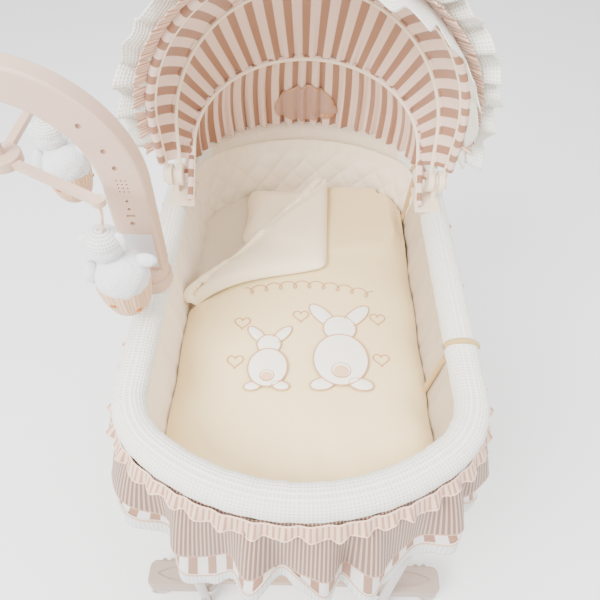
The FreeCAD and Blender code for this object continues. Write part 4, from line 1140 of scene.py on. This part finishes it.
def make_storage():
    low, high = box_of("storage_wall")
    half_x = (high.x - low.x) / 2
    half_y = (high.y - low.y) / 2
    radius = 0.025
    line = []
    for quarter, (sx, sy) in enumerate(((1, 1), (-1, 1), (-1, -1), (1, -1))):
        for angle in np.linspace(quarter * math.pi / 2, (quarter + 1) * math.pi / 2, 12):
            line.append((sx * (half_x - radius) + radius * math.cos(angle),
                         sy * (half_y - radius) + radius * math.sin(angle)))
    line = np.array(line + line[:1])
    lengths = run_lengths(line)
    total = lengths[-1]
    down, along = shares(18, 520, total)
    x = np.interp(along, lengths, line[:, 0])
    y = np.interp(along, lengths, line[:, 1])
    sag = 0.0035 * np.sin(2 * math.pi * along / total * 4) * np.sin(math.pi * down)
    ripple = 0.0012 * np.sin(2 * math.pi * along / 0.035) * (1 - down)
    scale = 1 + (sag + ripple - 0.003) / half_x
    dip = 0.006 * np.sin(math.pi * np.mod(along, total / 4) / (total / 4)) * (1 - down)
    points = stack(x * scale, y * scale, high.z - (high.z - low.z) * down - dip)
    wall = grid("storage_cloth", points, stack(along, down * 0.09), "skirt", closed=True)
    thicken(wall, 0.0022)
    dress(wall, "stand", "storage_wall")
    tube("storage_edge", points[0, :-1], 0.0040, "waffle", "stand", closed=True)


def make_star(name, along, turn, size=0.047):
    """A five-pointed patch on the upper tier of the skirt."""
    share, angles = shares(8, 101, 2 * math.pi)
    fifth = 2 * math.pi / 5
    local = np.mod(angles + math.pi / 2 + turn, fifth) - fifth / 2
    radius = size * (0.42 + 0.58 * (np.abs(local) / (fifth / 2)) ** 1.6)
    a = along + radius * share * np.cos(angles)
    b = 0.070 - radius * share * np.sin(angles)
    outset, z, _ = upper_shape(a, np.clip(b / 0.128, 0, 1))
    points = stack(*round_rim(a, outset + 0.0022 + 0.001 * (1 - share)), z)
    star = grid(name, points, stack(a, b), "star", "basket", closed=True)
    tube(name + "_edge", points[-1, :-1], 0.0011, "thread", "basket",
         closed=True, sides=6)


# ---------------------------------------------------------------- stage and camera

def make_stage():
    bpy.ops.mesh.primitive_plane_add(size=12, location=(0, 0, 0))
    floor = bpy.context.object
    floor.name = "studio_floor"
    shade = Shade("studio floor", 0.9)
    shade.colour(varied(shade, (0.93, 0.93, 0.93, 1), (0.92, 0.92, 0.92, 1), 1))
    floor.data.materials.append(shade.material)

    world = bpy.data.worlds.new("studio")
    bpy.context.scene.world = world
    world.use_nodes = True
    world.node_tree.nodes["Background"].inputs["Color"].default_value = (1, 1, 1, 1)
    world.node_tree.nodes["Background"].inputs["Strength"].default_value = 1.5

    lights = (
        ("key", (-1.3, -1.5, 2.7), 1.3, 190),
        ("fill", (1.9, -0.8, 2.2), 1.8, 40),
        ("top", (0.1, 0.5, 3.2), 2.0, 70),
    )
    for name, place, size, power in lights:
        data = bpy.data.lights.new(name, "AREA")
        data.size = size
        data.energy = power
        lamp = bpy.data.objects.new(name, data)
        lamp.location = place
        lamp.rotation_euler = (Vector((0, 0, 0.6)) - Vector(place)).to_track_quat(
            "-Z", "Y").to_euler()
        bpy.context.scene.collection.objects.link(lamp)


def make_camera():
    data = bpy.data.cameras.new("camera")
    data.sensor_width = 36
    data.lens = 33.68
    camera = bpy.data.objects.new("camera", data)
    bpy.context.scene.collection.objects.link(camera)
    pitch = math.radians(49.56)
    yaw = math.radians(0.33)
    roll = math.radians(1.77)
    ahead = Vector((math.sin(yaw) * math.cos(pitch), math.cos(yaw) * math.cos(pitch),
                    -math.sin(pitch)))
    turn = ahead.to_track_quat("-Z", "Y").to_matrix() @ Matrix.Rotation(roll, 3, "Z")
    camera.matrix_world = Matrix.Translation(CENTRE + Vector((-0.0078, -0.6632, 1.4252))) @ (
        turn.to_4x4())
    bpy.context.scene.camera = camera


paint_cad()
make_rim()
make_liner()
make_skirt()
DUVET_TREE = make_bedding()
make_flap()
make_embroidery()
make_hood()
for toy_number in (1, 2, 3):
    make_toy(toy_number)
make_storage()
make_star("star_right", 0.36, 0.2)
make_star("star_left", AROUND - 0.42, -0.3)
make_stage()
make_camera()
